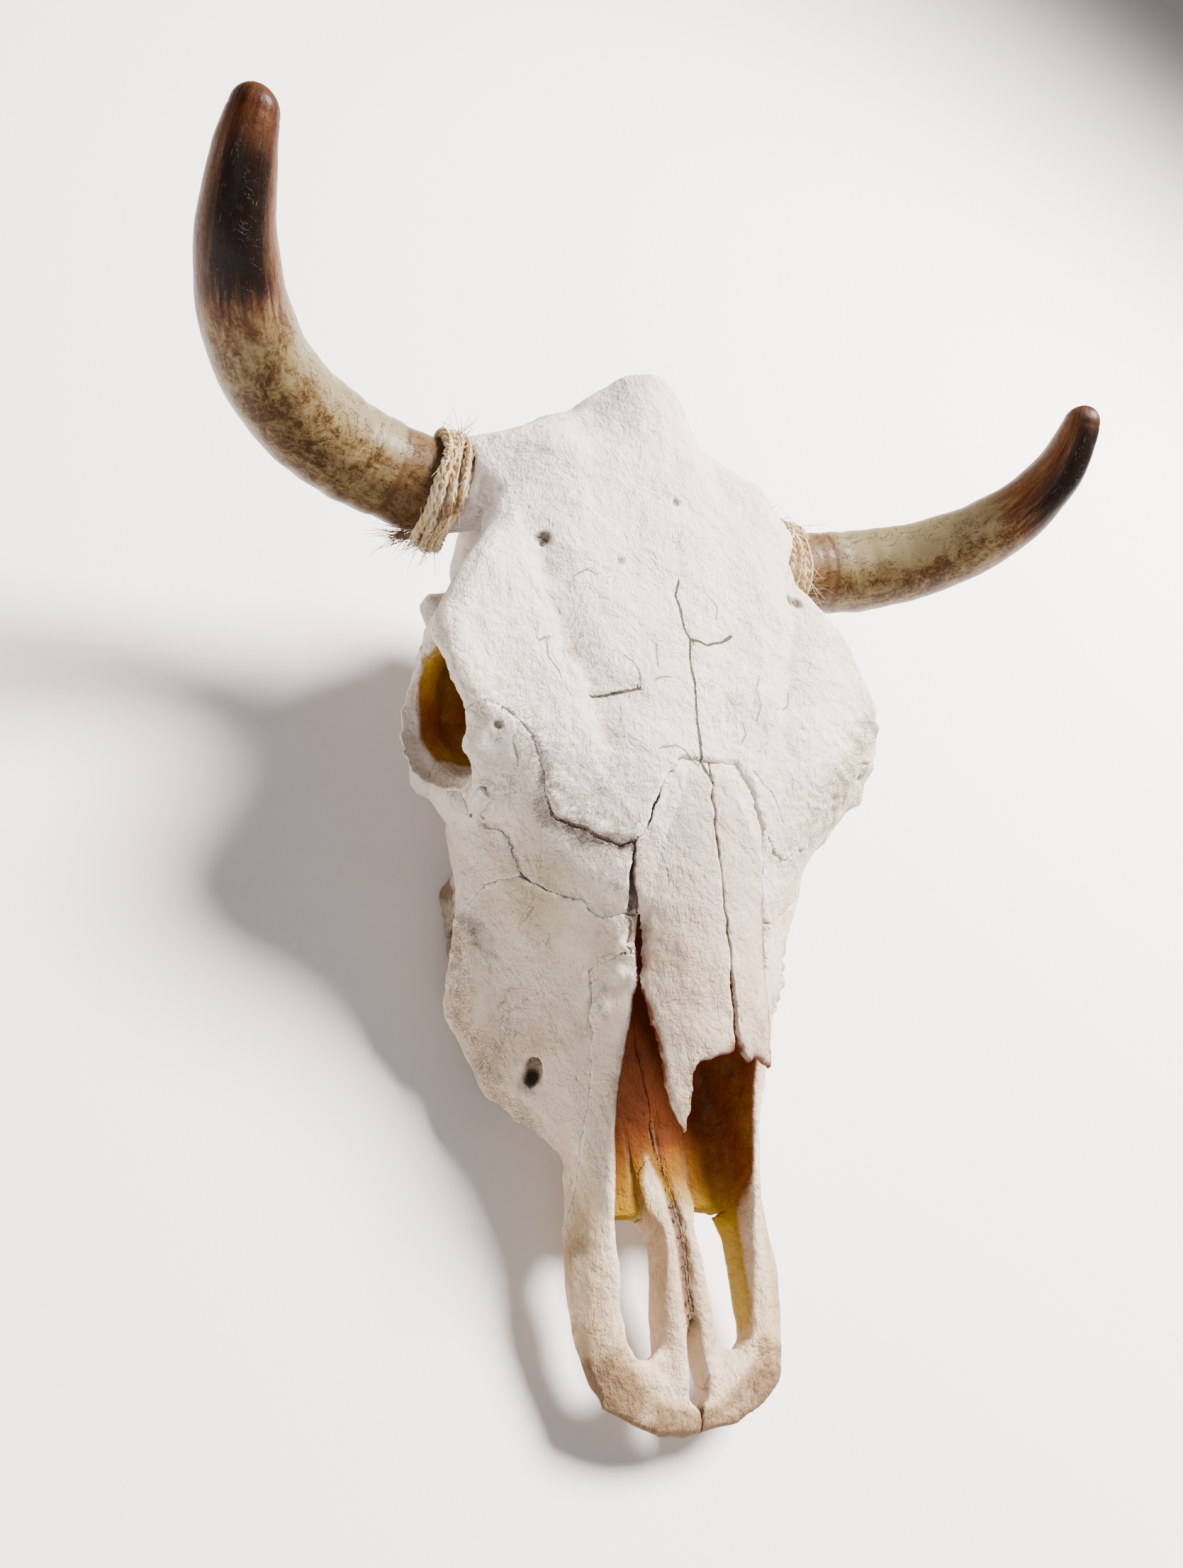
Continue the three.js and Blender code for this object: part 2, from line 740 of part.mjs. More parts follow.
// ---------------------------------------------------------------- where the sutures run, left side
const MIDDLE = SUTURE_GAP / 2;
const FRONTAL = {
  plan: [
    [MIDDLE, 22],
    [15, 23],
    [24.4, 11.8],
    [30.2, -4],
    [36, -10.8],
    [42.7, -12.3],
    [50, -9.1],
    [57.3, -3.5],
    [66, 0.7],
    [70, 4],
    [72.8, 9.2],
    [75, 15],
    [83, 27.5],
    [93.6, 36.5],
    [101.4, 40],
    [160, 52],
    [160, 270],
    [MIDDLE, 270],
  ],
  side: [
    [-40, 118],
    [60, 124],
    [95, 116],
    [118, 138],
    [150, 140],
    [165, 106],
    [204, 106],
    [211, 160],
    [270, 168],
    [270, 270],
    [-40, 270],
  ],
};
const LACRIMAL = {
  plan: [
    [160, 52],
    [101.4, 40],
    [93.6, 36.5],
    [83, 27.5],
    [75, 15],
    [72.8, 9.2],
    [70, 4],
    [66, 0.7],
    [57.3, -3.5],
    [50, -9.1],
    [42.7, -12.3],
    [36, -10.8],
    [28, -24],
    [28, -37],
    [43.4, -37.4],
    [48, -35],
    [51.4, -29.6],
    [65, -20.5],
    [70.3, -15.9],
    [75.7, -10.2],
    [79.5, -2],
    [82, 6],
    [86.8, 11],
    [91.7, 14.8],
    [95.4, 20.7],
    [160, 22],
  ],
  side: [
    [-60, 98],
    [60, 98],
    [60, 220],
    [-60, 220],
  ],
};
const ZYGOMATIC = {
  plan: [
    [62, -40],
    [140, -40],
    [140, 140],
    [84, 140],
    [80, 60],
    [72, 30],
  ],
  side: [
    [-12, 99],
    [-7, 84],
    [-12, 66],
    [2, 54],
    [60, 58],
    [104, 58],
    [124, 92],
    [106, 117],
    [84, 117],
    [40, 120],
    [4, 116],
  ],
};
const PREMAXILLA = {
  plan: [
    [MIDDLE, -245],
    [80, -245],
    [80, -45],
    [MIDDLE, -45],
  ],
  side: [
    [-245, -30],
    [-245, 140],
    [-50, 140],
    [-54, 93],
    [-66, 88],
    [-80, 81],
    [-93, 71],
    [-106, 62],
    [-118, 52],
    [-134, 41],
    [-142, 36],
    [-142, -30],
  ],
};
const MAXILLA = {
  plan: [
    [MIDDLE, -245],
    [160, -245],
    [160, 66],
    [46, 66],
    [46, 12],
    [MIDDLE, 12],
  ],
  side: [
    [-245, -30],
    [70, -30],
    [70, 68],
    [10, 74],
    [10, 160],
    [-245, 160],
  ],
};
const TEMPORAL = {
  plan: [
    [34, 98],
    [160, 98],
    [160, 179],
    [34, 179],
  ],
};
const OCCIPITAL = {
  plan: [
    [-34, 134],
    [34, 134],
    [34, 179.6],
    [170, 179.6],
    [170, 270],
    [-170, 270],
    [-170, 179.6],
    [-34, 179.6],
  ],
  side: [
    [100, -30],
    [100, 98],
    [179.6, 98],
    [179.6, 270],
    [270, 270],
    [270, -30],
  ],
};
// The nasal bones differ: the right one keeps its long outer prong, the left one has lost it.
const NASAL_LEFT = [
  [0.8, 22],
  [15, 23],
  [24.4, 11.8],
  [28.5, -6],
  [28, -24],
  [27, -40],
  [28.5, -54],
  [29.3, -70],
  [28, -86],
  [25.5, -103],
  [21.5, -101.8],
  [15.9, -100.8],
  [12.8, -99.8],
  [10, -103.5],
  [6.4, -101],
  [3.1, -94],
  [2.2, -60],
  [2, -20],
];
const NASAL_RIGHT = [
  [0.2, 22],
  [15, 23],
  [24.4, 11.8],
  [30.2, -4],
  [36, -10.8],
  [37, -24],
  [36, -32],
  [34, -44],
  [32.9, -56],
  [32.9, -65.6],
  [30.9, -77],
  [29.2, -91],
  [27.7, -106],
  [25.4, -119],
  [22.5, -130],
  [20, -118],
  [18.5, -107],
  [15.5, -102.5],
  [7, -101],
  [-0.6, -100.5],
  [-1.2, -60],
  [-0.9, -20],
];

// ---------------------------------------------------------------- nasal bones
const NASAL_PLATE = 4.8;
const NASAL_FACES = 600;
const nasalPlate = (thickness, above) => (side, y, z) => {
  const x = Math.abs(side);
  const top = z - roofAt(x, y) - above;
  const under = roofAt(x, y) - thickness - z;
  return overlap(top * 0.9, under * 0.9, above ? 0.5 : 2.5);
};
const plateBox = [
  [-43.2, -134.2, 70],
  [43.2, 33, 162],
];
const plateSolid = (thickness, above, wanted) => {
  const edge = (side, y) => Math.max(Math.abs(side) - 41.5, y - 31, -132 - y);
  const inside = nasalPlate(thickness, above);
  const field = (side, y, z) => Math.max(inside(side, y, z), edge(side, y));
  return toSolid(thin(meshField(field, ...plateBox, 2.4), wanted));
};

// ---------------------------------------------------------------- cheek teeth
// A molar's crown in plan: two lobes with ribs on the cheek side.
const molarOutline = (x, y, width, length) => {
  const lobes = [
    [-0.5, -0.3],
    [-0.38, -0.47],
    [0.1, -0.5],
    [0.47, -0.46],
    [0.5, -0.22],
    [0.42, -0.1],
    [0.5, 0],
    [0.42, 0.12],
    [0.5, 0.26],
    [0.46, 0.47],
    [0.1, 0.5],
    [-0.38, 0.46],
    [-0.5, 0.28],
    [-0.42, 0],
  ];
  return lobes.map(([u, v]) => [x + u * width, y + v * length]);
};
const MOLARS = [
  [57.5, -32, 22, 25],
  [58.5, -4, 24, 28],
  [59, 26, 23, 29],
];
function addMolars(jaw, hand) {
  for (const molar of MOLARS)
    jaw = jaw.add(prism(mirrored(molarOutline(...molar), hand), "plan", 0, CHEEK_EDGE_Z + 6));
  return jaw;
}

// ---------------------------------------------------------------- horns and their rope wraps
const hornWay = (t) =>
  HORN_CURVE.getPoint(t + 1e-3)
    .sub(HORN_CURVE.getPoint(t - 1e-3))
    .normalize();
const HORN_ROOT = HORN_CURVE.getPoint(HORN_FROM);
const HORN_AXIS = hornWay(HORN_FROM);
const hornRadius = through(
  [HORN_FROM, 23.6],
  [0.04, 23.8],
  [0.07, 23],
  [0.1, 23.8],
  [0.25, 23.9],
  [0.45, 21.4],
  [0.6, 19],
  [0.75, 15.8],
  [0.89, 12.2],
  [0.95, 10.2],
  [0.985, 7.4],
  [1, 3.6],
);
function hornSheath(hand) {
  const stations = [HORN_FROM, 0.04, 0.07, 0.1, 0.2, 0.31, 0.42, 0.53, 0.64];
  stations.push(0.75, 0.85, 0.93, 0.975, 1);
  const around = 18;
  const place = [];
  const faces = [];
  const across = new THREE.Vector3();
  const up = new THREE.Vector3();
  for (const t of stations) {
    const centre = HORN_CURVE.getPoint(t);
    const tangent = hornWay(t);
    across.set(0, -1, 0).cross(tangent).normalize();
    up.crossVectors(tangent, across);
    for (let i = 0; i < around; i++) {
      const angle = (2 * Math.PI * i) / around;
      const p = centre.clone();
      p.addScaledVector(across, Math.cos(angle) * hornRadius(t));
      p.addScaledVector(up, Math.sin(angle) * hornRadius(t));
      place.push(hand * p.x, p.y, p.z);
    }
  }
  const ends = [stations[0], 1].map((t) => HORN_CURVE.getPoint(t));
  ends.forEach((p) => place.push(hand * p.x, p.y, p.z));
  const [root, tip] = [place.length / 3 - 2, place.length / 3 - 1];
  const push = (a, b, c) => faces.push(...(hand > 0 ? [a, b, c] : [a, c, b]));
  const last = (stations.length - 1) * around;
  for (let i = 0; i < around; i++) {
    const j = (i + 1) % around;
    push(root, j, i);
    push(tip, last + i, last + j);
    for (let r = 0; r < last; r += around) {
      push(r + i, r + j, r + around + j);
      push(r + i, r + around + j, r + around + i);
    }
  }
  return toSolid({ place, faces });
}

// Places a lathe's +Y axis on the horn's root axis.
function ontoHorn(geometry, hand) {
  const axis = new THREE.Vector3(hand * HORN_AXIS.x, HORN_AXIS.y, HORN_AXIS.z);
  const turn = new THREE.Quaternion().setFromUnitVectors(new THREE.Vector3(0, 1, 0), axis);
  return geometry
    .applyQuaternion(turn)
    .translate(hand * HORN_ROOT.x, HORN_ROOT.y, HORN_ROOT.z);
}

// The turns of rope as one scalloped ring round the joint of horn and skull.
function ropeRing(hand, extra) {
  const { start, turns, strand, bore } = ROPE;
  const profile = [
    [bore - extra, start - extra],
    [bore + strand, start - extra],
  ];
  for (let i = 0; i < turns; i++) {
    const low = start + 2 * strand * i;
    profile.push([bore + 2 * strand + extra, low + 0.6 * strand]);
    profile.push([bore + 2 * strand + extra, low + 1.4 * strand]);
    if (i + 1 < turns) profile.push([bore + 1.5 * strand + extra, low + 2 * strand]);
  }
  const end = start + 2 * strand * turns + extra;
  profile.push([bore + strand, end], [bore - extra, end], profile[0]);
  const points = profile.map(([r, h]) => new THREE.Vector2(r, h));
  return geometryToSolid(ontoHorn(new THREE.LatheGeometry(points, 16), hand));
}

function beyondRoot(hand) {
  const points = [[0, -FIT_GAP], [60, -FIT_GAP], [60, 80], [0, 80]];
  const profile = points.map(([r, h]) => new THREE.Vector2(r, h));
  return geometryToSolid(ontoHorn(new THREE.LatheGeometry(profile, 16), hand));
}

// ---------------------------------------------------------------- assembly
const GRID = 3;
const SKULL_FACES = 7600;
const BONE_SHARE = 0.31; // how much of each parted bone's mesh is kept
const skullBox = [
  [-136.5, -237.1, -15.3],
  [136.5, 249, 214],
];
let rest = toSolid(thin(meshField(skull, ...skullBox, GRID), SKULL_FACES));
const everywhere = [
  [-FAR, -FAR],
  [FAR, -FAR],
  [FAR, FAR],
  [-FAR, FAR],
];
const underFloor = prism(everywhere, "plan", -FAR, 0);
rest = rest.subtract(underFloor);

const COLORS = { bone: 0xe6dfd2, horn: 0x8a6a45, rope: 0xc9a66b };
const materials = Object.fromEntries(
  Object.entries(COLORS).map(([name, color]) => [
    name,
    new THREE.MeshStandardMaterial({ name, color, roughness: name === "horn" ? 0.3 : 0.75 }),
  ]),
);
const group = new THREE.Group();
group.name = "cow_skull";
function addPart(name, solid, material) {
  const mesh = new THREE.Mesh(solidToGeometry(largestPiece(solid)), materials[material]);
  mesh.name = name;
  group.add(mesh);
}
const HANDS = [
  ["left", 1],
  ["right", -1],
];

const clearHorn = (solid, hand) =>
  solid.subtract(beyondRoot(hand)).subtract(ropeRing(hand, FIT_GAP));
for (const [, hand] of HANDS) rest = clearHorn(rest, hand);
const nasalSpaces = [];
const nasals = plateSolid(NASAL_PLATE, 0, NASAL_FACES);
const nasalRoom = plateSolid(NASAL_PLATE + 3 * FIT_GAP, 6, NASAL_FACES);
for (const [name, hand] of HANDS) {
  const outline = mirrored(hand > 0 ? NASAL_LEFT : NASAL_RIGHT, hand);
  addPart(`nasal_${name}`, nasals.intersect(prism(outline, "plan", 0, FAR)), "bone");
  const room = nasalRoom.intersect(prism(grow(outline, SUTURE_GAP), "plan", 0, FAR));
  rest = rest.subtract(room);
  nasalSpaces.push(room);
}
const SLACK = 0.15; // how far thinning may move a cut face before it is trimmed back
const settled = [underFloor, ...nasalSpaces]; // the spaces of the bones already made, with most of the gap round them
function lighten(solid) {
  const mesh = largestPiece(solid).getMesh();
  const light = thin({ place: mesh.vertProperties, faces: mesh.triVerts }, BONE_SHARE * mesh.numTri);
  return settled.reduce((bone, space) => bone.subtract(space), toSolid(light));
}
function takeBone(name, space, hand, finish = (solid) => solid) {
  const bone = lighten(rest.intersect(region(space, hand, 0)));
  addPart(name, finish(bone.intersect(region(space, hand, SLACK))), "bone");
  rest = rest.subtract(region(space, hand, SUTURE_GAP));
  settled.push(region(space, hand, SUTURE_GAP - SLACK));
}
for (const [name, hand] of HANDS) {
  takeBone(`frontal_${name}`, FRONTAL, hand, (roof) => clearHorn(roof, hand));
  takeBone(`lacrimal_${name}`, LACRIMAL, hand);
  takeBone(`zygomatic_${name}`, ZYGOMATIC, hand);
  takeBone(`premaxilla_${name}`, PREMAXILLA, hand);
  takeBone(`maxilla_${name}`, MAXILLA, hand, (jaw) => addMolars(jaw, hand));
}
takeBone("occipital", OCCIPITAL, 1);
for (const [name, hand] of HANDS) takeBone(`temporal_${name}`, TEMPORAL, hand);
addPart("skull_base", lighten(rest), "bone");
for (const [name, hand] of HANDS) {
  addPart(`horn_sheath_${name}`, hornSheath(hand), "horn");
  addPart(`rope_wrap_${name}`, ropeRing(hand, 0), "rope");
}

// The origin goes to the middle of the footprint; the floor is already at z = 0.
const middle = new THREE.Box3().setFromObject(group).getCenter(new THREE.Vector3());
for (const part of group.children) part.geometry.translate(-middle.x, -middle.y, 0);
export default group;
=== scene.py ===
# %% [markdown]
# # A cow skull with roped horns, lying on a pale floor
# A dry, sun-bleached skull, two glossy horn sheaths and a few turns of straw rope at each horn base.
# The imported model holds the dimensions. Here come softened bone, sutures, cracks, stains and rope.

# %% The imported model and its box
import math
import random

import bmesh
import bpy
import numpy as np
from mathutils import Matrix, Vector
from mathutils.bvhtree import BVHTree
from mathutils.kdtree import KDTree


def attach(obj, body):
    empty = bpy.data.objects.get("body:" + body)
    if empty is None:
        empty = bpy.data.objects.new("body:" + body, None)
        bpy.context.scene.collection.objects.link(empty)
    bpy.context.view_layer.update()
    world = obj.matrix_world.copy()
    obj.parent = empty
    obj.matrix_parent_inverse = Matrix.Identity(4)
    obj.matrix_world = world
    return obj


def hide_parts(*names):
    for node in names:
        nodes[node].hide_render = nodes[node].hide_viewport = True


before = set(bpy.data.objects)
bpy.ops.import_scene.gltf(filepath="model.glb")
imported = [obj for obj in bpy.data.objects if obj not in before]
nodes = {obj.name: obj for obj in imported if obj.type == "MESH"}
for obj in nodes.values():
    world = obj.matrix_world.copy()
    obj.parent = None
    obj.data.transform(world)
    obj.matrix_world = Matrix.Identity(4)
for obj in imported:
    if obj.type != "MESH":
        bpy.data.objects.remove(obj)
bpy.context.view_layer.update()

MM = 0.001

# %% [markdown]
# The camera looks down on the skull from the front and its right, rolled so that the face runs
# down the picture.

# %% Camera
CAMERA_PLACE = (-0.304546, -0.28206, 0.494183)
CAMERA_RIGHT = Vector((0.87131, -0.19911, 0.44852))
CAMERA_UP = Vector((-0.11261, 0.80847, 0.57767))
CAMERA_BACK = Vector((-0.47763, -0.55384, 0.68201))
FOCAL_LENGTH = 27.678
camera = bpy.data.objects.new("camera", bpy.data.cameras.new("camera"))
camera.data.sensor_width = 36
camera.data.lens = FOCAL_LENGTH
turn = Matrix((CAMERA_RIGHT, CAMERA_UP, CAMERA_BACK)).transposed()
camera.matrix_world = Matrix.Translation(CAMERA_PLACE) @ turn.to_4x4()
bpy.context.scene.collection.objects.link(camera)
bpy.context.scene.camera = camera
print("camera height:", CAMERA_PLACE[2])

# %% [markdown]
# The sculpting brushes are small array functions: read all the points of a mesh, move them
# together and write them back. Smooth noise under every brush keeps edges from coming out straight.

# %% Array brushes
def points_of(mesh, what="co"):
    values = np.empty(len(mesh.vertices) * 3, np.float32)
    mesh.vertices.foreach_get(what, values)
    return values.reshape(-1, 3).astype(float)


def edges_of(mesh):
    pairs = np.empty(len(mesh.edges) * 2, np.int32)
    mesh.edges.foreach_get("vertices", pairs)
    return pairs.reshape(-1, 2)


def set_points(mesh, points):
    mesh.vertices.foreach_set("co", points.astype(np.float32).ravel())
    mesh.update()


def spread(values, edges):
    """The mean of each point's neighbours."""
    total = np.zeros_like(values)
    count = np.bincount(edges.ravel(), minlength=len(values))[:, None]
    for k in range(values.shape[1]):
        total[:, k] = np.bincount(edges[:, 0], values[edges[:, 1], k], len(values))
        total[:, k] += np.bincount(edges[:, 1], values[edges[:, 0], k], len(values))
    return total / np.maximum(count, 1)


def bell(values, width):
    return np.exp(-((values / width) ** 2))


def step(low, high, values):
    t = np.clip((values - low) / (high - low), 0, 1)
    return t * t * (3 - 2 * t)


def grain(points, size, seed):
    """Smooth noise from -1 to 1, with bumps of about size metres."""
    cell = np.floor(points / size).astype(np.int64)
    t = points / size - cell
    t = t * t * (3 - 2 * t)
    total = np.zeros(len(points))
    for corner in np.ndindex(2, 2, 2):
        i, j, k = (cell + np.array(corner)).T
        h = (i * 73856093 ^ j * 19349663 ^ k * 83492791 ^ seed * 2654435761) & 0xFFFFFFFF
        h = ((h ^ (h >> 15)) * 2246822519) & 0xFFFFFFFF
        h = ((h ^ (h >> 13)) * 3266489917) & 0xFFFFFFFF
        weight = np.prod(np.where(corner, t, 1 - t), axis=1)
        total += weight * (((h ^ (h >> 16)) & 0xFFFF) / 32767.5 - 1)
    return total


def grain_vector(points, size, seed):
    return np.stack([grain(points, size, seed + k) for k in range(3)], axis=1)


def near_points(points, centres, radius):
    """1 at any of the centres, given in millimetres, falling to 0 over the radius."""
    best = np.zeros(len(points))
    for centre in centres:
        gap = np.linalg.norm(points - np.array(centre) * MM, axis=1)
        best = np.maximum(best, bell(gap, radius * MM))
    return best


def path_gap(points, path, axes=(0, 1, 2)):
    """Distance to a chain of points in millimetres, along the axes named."""
    best = np.full(len(points), 1e9)
    here = points[:, axes]
    line = np.array(path)[:, : len(axes)] * MM
    for a, b in zip(line[:-1], line[1:]):
        t = np.clip((here - a) @ (b - a) / ((b - a) @ (b - a)), 0, 1)
        best = np.minimum(best, np.linalg.norm(here - a - t[:, None] * (b - a), axis=1))
    return best


def keep(mesh, name, values):
    """Stores one number per point for a material to read."""
    layer = mesh.attributes.new(name, "FLOAT", "POINT")
    layer.data.foreach_set("value", values.astype(np.float32))


def mesh_from(shape, name):
    """Turns a bmesh into a mesh and frees it."""
    mesh = bpy.data.meshes.new(name)
    shape.to_mesh(mesh)
    shape.free()
    return mesh


def add_object(name, mesh):
    thing = bpy.data.objects.new(name, mesh)
    bpy.context.scene.collection.objects.link(thing)
    return thing


def finish_piece(thing, slot, *replaced):
    for polygon in thing.data.polygons:
        polygon.use_smooth = True
    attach(thing, "root")
    if replaced:
        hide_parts(*replaced)
    print(f"{thing.name}: {len(thing.data.polygons)} faces")


print("brushes ready")

# %% [markdown]
# The bones of the frame are merged into one skin, remeshed into small voxels and smoothed, and that
# skin shows each bone where its outer surface should lie. The smoothing shrinks and then swells
# back, so that thin rims survive.

# %% One smooth skin over all the bones
BONES = {
    "frontal": ("frontal_left", "frontal_right"),
    "occipital": ("occipital",),
    "skull_base": ("skull_base",),
}
for part in ("nasal", "lacrimal", "zygomatic", "premaxilla", "maxilla", "temporal"):
    for side in ("left", "right"):
        BONES[f"{part}_{side}"] = (f"{part}_{side}",)


def merged_copy(name, node_names):
    """A copy of frame nodes as one mesh with shared corners."""
    shape = bmesh.new()
    for node in node_names:
        shape.from_mesh(nodes[node].data)
    bmesh.ops.remove_doubles(shape, verts=shape.verts, dist=0.02 * MM)
    return add_object(name, mesh_from(shape, name))


def voxelled(thing, size):
    """Remeshes an object into even quads, with the modifier applied."""
    remesh = thing.modifiers.new("voxels", "REMESH")
    remesh.mode = "VOXEL"
    remesh.voxel_size = size
    ready = thing.evaluated_get(bpy.context.evaluated_depsgraph_get())
    mesh = bpy.data.meshes.new_from_object(ready)
    thing.modifiers.clear()
    thing.data = mesh
    return mesh


def search_tree(mesh):
    corners = [tuple(p) for p in points_of(mesh)]
    return BVHTree.FromPolygons(corners, [tuple(f.vertices) for f in mesh.polygons])


SKIN_VOXEL = 1.5 * MM
SKIN_ROUNDS = 26
SHRINK, SWELL = 0.5, 0.53
skin = merged_copy("skin", [node for group in BONES.values() for node in group])
skin_mesh = voxelled(skin, SKIN_VOXEL)
skin_edges = edges_of(skin_mesh)
skin_points = points_of(skin_mesh)
for _ in range(SKIN_ROUNDS):
    skin_points += SHRINK * (spread(skin_points, skin_edges) - skin_points)
    skin_points -= SWELL * (spread(skin_points, skin_edges) - skin_points)
set_points(skin_mesh, skin_points)
skin_tree = search_tree(skin_mesh)
print("skin points:", len(skin_points))

# %% [markdown]
# Painted shade and amber light gather where the surface closes in on itself. A few rays from each
# point of the skin say how shut in it is, from 0 in the open to 1 deep inside.

# %% How shut in each place is
RAY_REACH = 70 * MM
RAY_LIFT = 1.2 * MM
RAY_COUNT = 14
LEAST_SLOPE = 0.15  # rays closer to the surface than this aren't sent
RAYS = []
for n in range(RAY_COUNT):
    height = 1 - (2 * n + 1) / RAY_COUNT
    angle = n * math.pi * (3 - math.sqrt(5))
    flat = math.sqrt(1 - height * height)
    RAYS.append(Vector((flat * math.cos(angle), flat * math.sin(angle), height)))
skin_normals = points_of(skin_mesh, "normal")
shut = np.zeros((len(skin_points), 1))
for n, (p, normal) in enumerate(zip(skin_points, skin_normals)):
    out = Vector(normal)
    start = Vector(p) + out * RAY_LIFT
    hits = tries = 0
    for ray in RAYS:
        if ray.dot(out) > LEAST_SLOPE:
            tries += 1
            hits += skin_tree.ray_cast(start, ray, RAY_REACH)[0] is not None
    shut[n, 0] = hits / max(tries, 1)
for _ in range(6):
    shut = spread(shut, skin_edges)
shut = shut[:, 0]
face_corner = np.array([f.vertices[0] for f in skin_mesh.polygons])
print("shut in, mean:", round(float(shut.mean()), 3))

# %% [markdown]
# Each bone is now remeshed on its own, at about a millimetre, and its outer points are laid on the
# skin. Points on the cut faces follow their nearest outer neighbour, so the sutures stay crisp. The
# same noise shifts both sides of a suture, so it wanders without opening, and a little growth
# towards the neighbour closes it in places.

# %% Shapes that the brushes follow, in millimetres
ORBIT_RIM = [
    (116, 69, 151), (111, 50, 146), (103, 35, 139), (96, 23, 126), (91, 15, 112), (89, 19, 97),
    (95, 35, 85), (99, 51, 78), (101, 69, 80), (104, 85, 92), (109, 92, 112), (114, 87, 136),
    (116, 69, 151),
]
LOBE_EDGE = [
    (36, -16), (42.7, -17.3), (50, -14.4), (57.3, -8.8), (66, -4.6), (70, -1.3), (72.8, 4),
    (75, 9.7), (83, 22.2), (93.6, 31.2), (101.4, 34.7),
]
SOCKET_WAY = [(134, 53, 113), (96, 57, 116), (66, 79, 112)]
TUBERCLES = [(-105, 25, 132), (-104, 35, 147), (105, 25, 132), (104, 35, 147)]
KNOBS = [(-36, -57, 108), (-40, -66, 103), (-34.5, -68, 105), (-45, -77, 92)]
PITS = [(-0.7, 149.7, 188.7), (-99.6, 26.4, 145.2), (99.6, 26.4, 145.2), (-35.2, 111.6, 177),
        (-94.2, 181.9, 160.5)]
DARK_HOLES = [(-58.5, -87.5, 43), (58.5, -87.5, 43), (34, -91.5, 63), (-71.9, 122.2, 171.3),
              (77.1, 119.8, 170.3)]
RIGHT_BROW = [(115.9, 58.4, 155.5), (105.7, 44.1, 152), (96, 32, 148), (86.6, 22, 144.9),
              (85.1, 10.2, 130.9)]
ALVEOLAR_EDGE = [(50, -117, 27), (62, -100, 30), (76, -84, 33), (87, -58, 38), (90, -38, 52),
                 (91, -26, 62)]
# The hollow of the nose: its half width and the height of its floor, from front to back.
CAVITY = {"y": [-227, -217, -205, -185, -155, -131, -100, -65, -25, 5],
          "half": [4, 16, 27, 33, 35, 35, 34, 33, 26, 12],
          "floor": [32, 32, 32, 32, 33, 36, 42, 46, 52, 60]}


def both_sides(points):
    """The points with x folded to the left side, for features that both sides share."""
    return points * np.where(points[:, :1] < 0, [[-1, 1, 1]], [[1, 1, 1]])


print("paths:", len(ORBIT_RIM), len(LOBE_EDGE))

# %% Cracks, drawn as lines over the surface
DEEP_CRACKS = 3  # the first ones in the list
NO_CRACK = 9.0
CRACKS = [
    [(-5.6, 104.6), (-8.2, 97), (-6, 91.4), (-4.8, 81.9), (-1.5, 76.4), (-2.6, 70), (-2.9, 62),
     (-3.4, 52), (-3.8, 43.8), (-4.1, 34), (-4.2, 26), (-5, 19), (-3.2, 14), (0.6, 7.5)],
    [(-1.5, 76.4), (4.1, 76.6), (8, 75.4), (12.5, 77.6), (17.5, 79.2), (23, 83)],
    [(-55.4, 43.1), (-48.1, 43.4), (-41.5, 44.1), (-33.9, 45.6)],
    [(-39.3, 61.3), (-35.5, 58.2), (-34, 53.5), (-33.5, 46.5)],
    [(-21.4, 69.9), (-22.4, 63.7), (-22.9, 58.4)],
    [(-25.2, 51.1), (-21.3, 53), (-17.1, 53.8)],
    [(-78.9, 66.1), (-75.7, 68.2), (-73.1, 68.9)],
    [(-75.7, 67.5), (-75.9, 58.9), (-73.6, 54.6), (-71.7, 49.9)],
    [(-92, 21), (-90.3, 18.7), (-88.3, 15.5)],
    [(-26, 19.3), (-17.9, 20.9), (-13.5, 18.8), (-6.2, 14.1)],
    [(26, 14.5), (31, 10), (36, 8), (41, 2), (45.3, -2.5)],
    [(30, 40), (33, 47), (31, 55), (35, 62)],
    [(12, 100), (16, 96), (15, 90)],
    [(-24, -30.9), (-23.4, -33), (-23.1, -35.4)],
    [(52, 52), (57, 56), (60, 64)],
    [(-60, 100), (-54, 103), (-50, 101)],
    [(20, 28), (23, 33), (21, 38)],
]


def crack_marks(points, normals):
    """Signed distance to the nearest crack in millimetres, and how near it is, for upward faces."""
    side = np.full(len(points), NO_CRACK)
    weight = np.zeros(len(points))
    flat = points[:, :2] / MM
    for number, line in enumerate(CRACKS):
        line = np.array(line, float)
        for a, b in zip(line[:-1], line[1:]):
            t = np.clip((flat - a) @ (b - a) / ((b - a) @ (b - a)), 0, 1)
            away = flat - a - t[:, None] * (b - a)
            gap = np.linalg.norm(away, axis=1)
            hand = np.sign((b - a)[0] * away[:, 1] - (b - a)[1] * away[:, 0])
            closer = gap < np.abs(side)
            weight[closer] = 1.0 if number < DEEP_CRACKS else 0.5
            side = np.where(closer, gap * np.where(hand == 0, 1, hand), side)
    upward = step(0.1, 0.35, normals[:, 2])
    return side, (1 - step(1.2, 2.6, np.abs(side))) * upward * weight


print("cracks:", len(CRACKS))

# %% The bone sculptor
BONE_VOXEL = {"frontal": 1.35, "maxilla_left": 1.1, "maxilla_right": 1.1, "occipital": 1.25,
              "skull_base": 1.3}
SKIN_REACH = 6 * MM
OUTER_GAP = 1.1 * MM
OUTER_FACING = 0.45
FADE = 4 * MM


